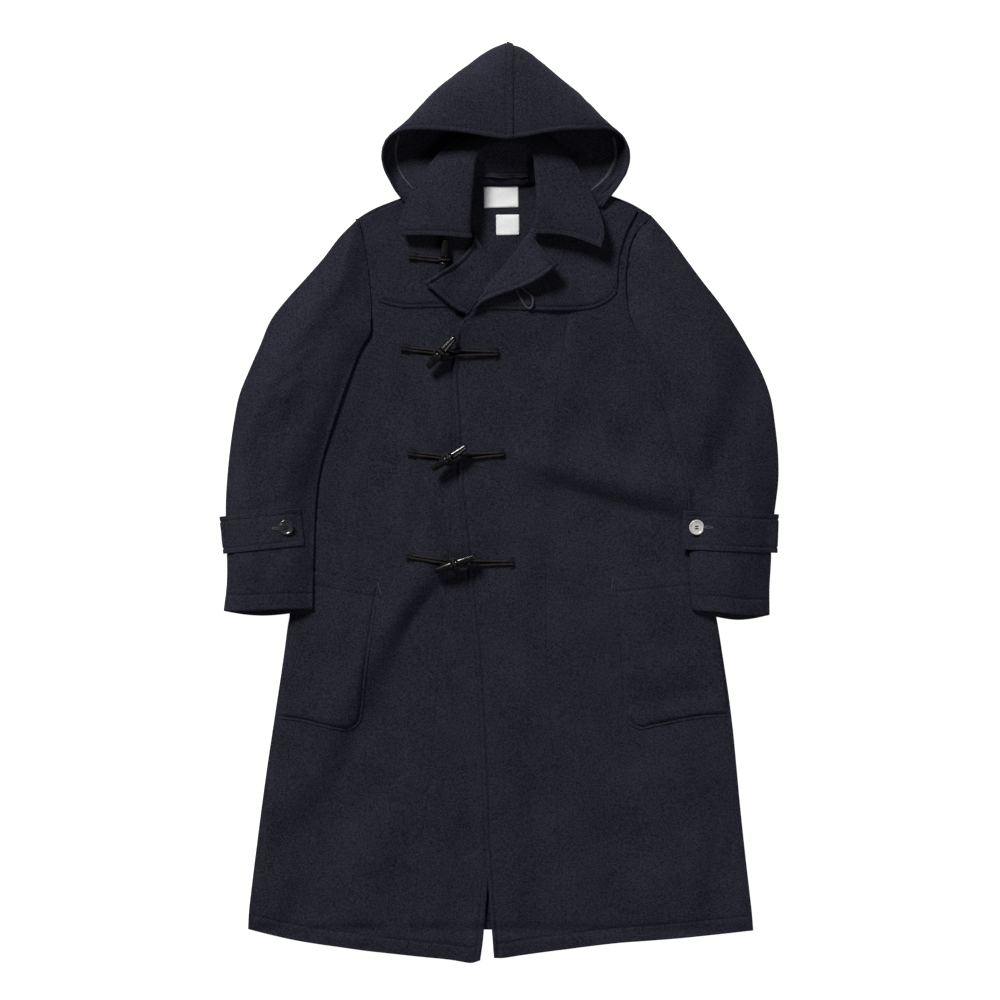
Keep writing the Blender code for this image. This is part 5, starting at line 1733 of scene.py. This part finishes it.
def make_hanger():
    """A narrow tape, turned under and sewn at both ends, slack and half twisted between them."""
    (cx, cy), (width, height) = HANGER
    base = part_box("hanger_loop")[0][2] / MM
    columns = 9
    grid = []
    for s in np.linspace(-width / 2, width / 2, 89):
        t = s / (width / 2)
        free = max(1 - t * t, 0)
        sag = -2.2 * free + 0.5 * math.sin(s * 0.21)
        rise = 0.9 + 2.6 * free + 0.5 * math.sin(s * 0.33 + 0.6)
        twist = math.radians(38 * free * math.sin(s * 0.085 + 0.7) + 14 * free)
        grid.append([(cx + s, cy + sag + v * math.cos(twist), base + rise + v * math.sin(twist))
                     for v in np.linspace(-1, 1, columns) * height / 2])
    grid = np.array(grid)
    grid[..., 2] = np.maximum(grid[..., 2], base + 0.5)
    edge = np.minimum(np.arange(columns), np.arange(columns)[::-1]) * (height / (columns - 1)) + 0.12
    shell("hanger_loop_tape", "hanger_loop", grid, 1.0, np.tile(edge, (len(grid), 1)), tape_look,
          rim=0.6)
    for end, sign in (("right", -1), ("left", 1)):
        middle = Vector((cx + sign * (width / 2 - 2.2), cy, 0))
        thread_bar("hanger_loop_%s_tack" % end, middle, Vector((1, 0, 0)), height + 1.0, 3.0,
                   lambda at: base + 1.9, navy_thread, spacing=0.5, radius=0.26)
    sew("hanger_loop_selvedge", [upright(grid[1:-1, 1] + (0, 0, 0.75))], cord_grey,
        pitch=1.5, wide=0.42, gap=0.35)


def make_neck_tape():
    """The tape that covers the seam of back and collar on the inside, stitched along both edges."""
    collar = heights_of("collar_cloth")
    grid = []
    for x in np.linspace(-32, 44, 42):
        middle = 470.2 + 0.0016 * (x - 10)**2
        row = []
        for v in (4.3, 3.4, 2.4, 1.2, 0.0, -1.2, -2.4, -3.4, -4.3):
            y = middle + v
            row.append((x, y, highest([surface("back", x, y) or 2.8, collar(x, y)]) + 0.7))
        grid.append(row)
    grid = np.array(grid)
    for _ in range(3):
        grid[:, 1:-1, 2] = np.maximum(grid[:, 1:-1, 2], (grid[:, :-2, 2] + grid[:, 2:, 2]) / 2)
    edge = np.tile(np.array([0.15, 0.9, 1.9, 3.1, 4.3, 3.1, 1.9, 0.9, 0.15]), (len(grid), 1))
    shell("neck_tape", None, grid, 1.2, edge, wool, rim=1.0)
    sew("neck_tape_stitching", [upright(grid[1:-1, c] + (0, 0, 0.62)) for c in (1, 7)], black_thread,
        pitch=3.2, wide=0.32)


make_label("size_label", 1.2)
make_label("care_label", 0.6)
make_neck_tape()
make_hanger()


# ---- seam allowances and pocket tacks

ALLOWANCE = 9.0        # width of a seam allowance, its thickness and its height over the floor
ALLOWANCE_THICK = 0.5
ALLOWANCE_LOW = 0.3


def allowance(name, line):
    """A flat strip along a plan line."""
    n = len(line)
    top = ALLOWANCE_LOW + ALLOWANCE_THICK
    verts = np.vstack([np.column_stack([moved(line, ALLOWANCE / 2 * sign)[:, :2], np.full(n, z)])
                       for sign, z in ((-1, ALLOWANCE_LOW), (1, ALLOWANCE_LOW), (1, top), (-1, top))])
    faces = [(a * n + j, b * n + j, b * n + j + 1, a * n + j + 1)
             for j in range(n - 1) for a, b in ((0, 1), (1, 2), (2, 3), (3, 0))]
    faces += [(0, 3 * n, 2 * n, n), (n - 1, 2 * n - 1, 3 * n - 1, 4 * n - 1)]
    face_outwards(object_from(name, verts, faces, verts[:, :2] * MM, wool))


def turned_edge(name, part, arc, below):
    """The turned-in allowance of a raised cloth edge: it reaches from the edge down to what lies below."""
    grid = []
    for x, y, _ in moved(arc, 1.1):
        z = surface(name, x, y)
        if z is not None:
            high = z - 1.5
            low = min(top_surface(below, x, y, 0.8) - 0.5, high - 0.4)
            grid.append([(x, y, high), (x, y, (high + low) / 2), (x, y, low)])
    grid = np.array(grid)
    if len(grid) > 3:
        edge = np.full(grid.shape[:2], ALLOWANCE)
        shell("%s_turned_edge_%d" % (name, part), None, grid, 0.9, edge, wool, rim=0.4)


for side, s in SIDES:
    allowance(side + "_armhole_allowance", arc_near(side + "_sleeve_upper", s * 190, 330))
for side, s in SIDES:
    upper, under, front, pocket = (
        side + end for end in ("_sleeve_upper", "_sleeve_under", "_front_side", "_pocket"))
    cuff, others = sleeve_arcs(side, s)
    for part, arc in enumerate(others):
        turned_edge(upper, part, arc, [under, front, pocket, "back"])
    body_ring = np.vstack(arcs_of(front, 4.0))
    sleeve_ring = np.vstack(arcs_of(upper, 4.0))
    for part, arc in enumerate(arcs_of(under, 4.0)):
        if np.median(distance_to(arc, body_ring)[0]) < 30:
            turned_edge(under, part, arc, [front, pocket, "back"])
    seams = [a for a in arcs_of(front, 4.0) if np.median(distance_to(a, sleeve_ring)[0]) < 6]
    for part, arc in enumerate(seams):
        turned_edge(front, part, arc, ["back"])

for side, x in (("right", -128), ("left", 98)):
    seam = arc_near(side + "_front_side", x, -400)
    allowance(side + "_front_allowance", seam[seam[:, 1] < -590])

# Columns: side, place of a pocket's tack, its length, and how it leans
for side, (x, y), long, lean in (("right", (-175.5, -121), 17.0, -0.30), ("left", (166, -112), 19.0, 0.16)):
    names = [side + "_pocket", side + "_front_side", side + "_front_centre"]
    tack = Vector((lean, 1, 0)).normalized()
    across = Vector((tack.y, -tack.x, 0))
    paths = []
    for k in range(20):
        row = []
        for t in np.linspace(-0.5, 0.5, 5):
            at = Vector((x, y - long * 0.3, 0)) + tack * ((k / 19 - 0.5) * long) + across * (t * 2.0)
            row.append((at.x, at.y, top_surface(names, at.x, at.y, 6.0) + 0.1 + 0.25 * math.cos(math.pi * t)))
        paths.append(row)
    tubes(side + "_pocket_tack", paths, 0.34, tack_thread)


# ---- the bound edge of the hood's facing

FACING_IN = (29.0, 40.0)               # its distance from the hood's rim, at the side and at the front end
FACING_WIDE = {"right": 3.4, "left": 5.2}


def facing_edge(side):
    """A thin strip on the inside of a hood."""
    one = shells[side + "_hood_cloth"]
    rows = range(int(len(one["grid"]) * 0.64), len(one["grid"]) - 3)
    grid = []
    for k, r in enumerate(rows):
        inner = one["grid"][r] - one["normal"][r] * (CLOTH / 2 + 0.35)
        d = FACING_IN[0] + (FACING_IN[1] - FACING_IN[0]) * k / (len(rows) - 1)
        grid.append([[np.interp(d + FACING_WIDE[side] * share, one["from_rim"][r], inner[:, c])
                      for c in range(3)] for share in (0.0, 0.5, 1.0)])
    shell(side + "_hood_facing_edge", None, np.array(grid), 0.6, np.tile([0.15, 2.0, 0.15], (len(grid), 1)),
          facing_look, rim=0.6)


facing_edge("right")
facing_edge("left")


# ---- the cut of each cloth

SEAM_SHARE = 1.02      # what a cut needs over what shows
LEAST_FILL = 0.31      # the least share of its rectangle that a cut may cover
PARTS_OF_OTHERS = ("hanger_loop_tape", "neck_tape", "_hood_facing_edge", "_turned_edge")


def declare(name, thing, width, length, area, rests_on, held):
    width, length = float(width) * SEAM_SHARE, float(length) * SEAM_SHARE
    area = min(max(area, LEAST_FILL * width * length), width * length)
    print("CUT %s %.0f x %.0f mm, %.4f m2" % (name, width * 1000, length * 1000, area))


for name, panel in panels.items():
    spans = (panel["ring"][:, :2].max(0) - panel["ring"][:, :2].min(0)) * MM
    declare(name, panel["thing"], *spans, panel["area"],
            ["floor"] if name == "back" else ["back_cloth"], "laid")
for name, one in shells.items():
    if not any(part in name for part in PARTS_OF_OTHERS):
        declare(name, one["thing"], *one["size"], one["area"], ["back_cloth"], "folded")
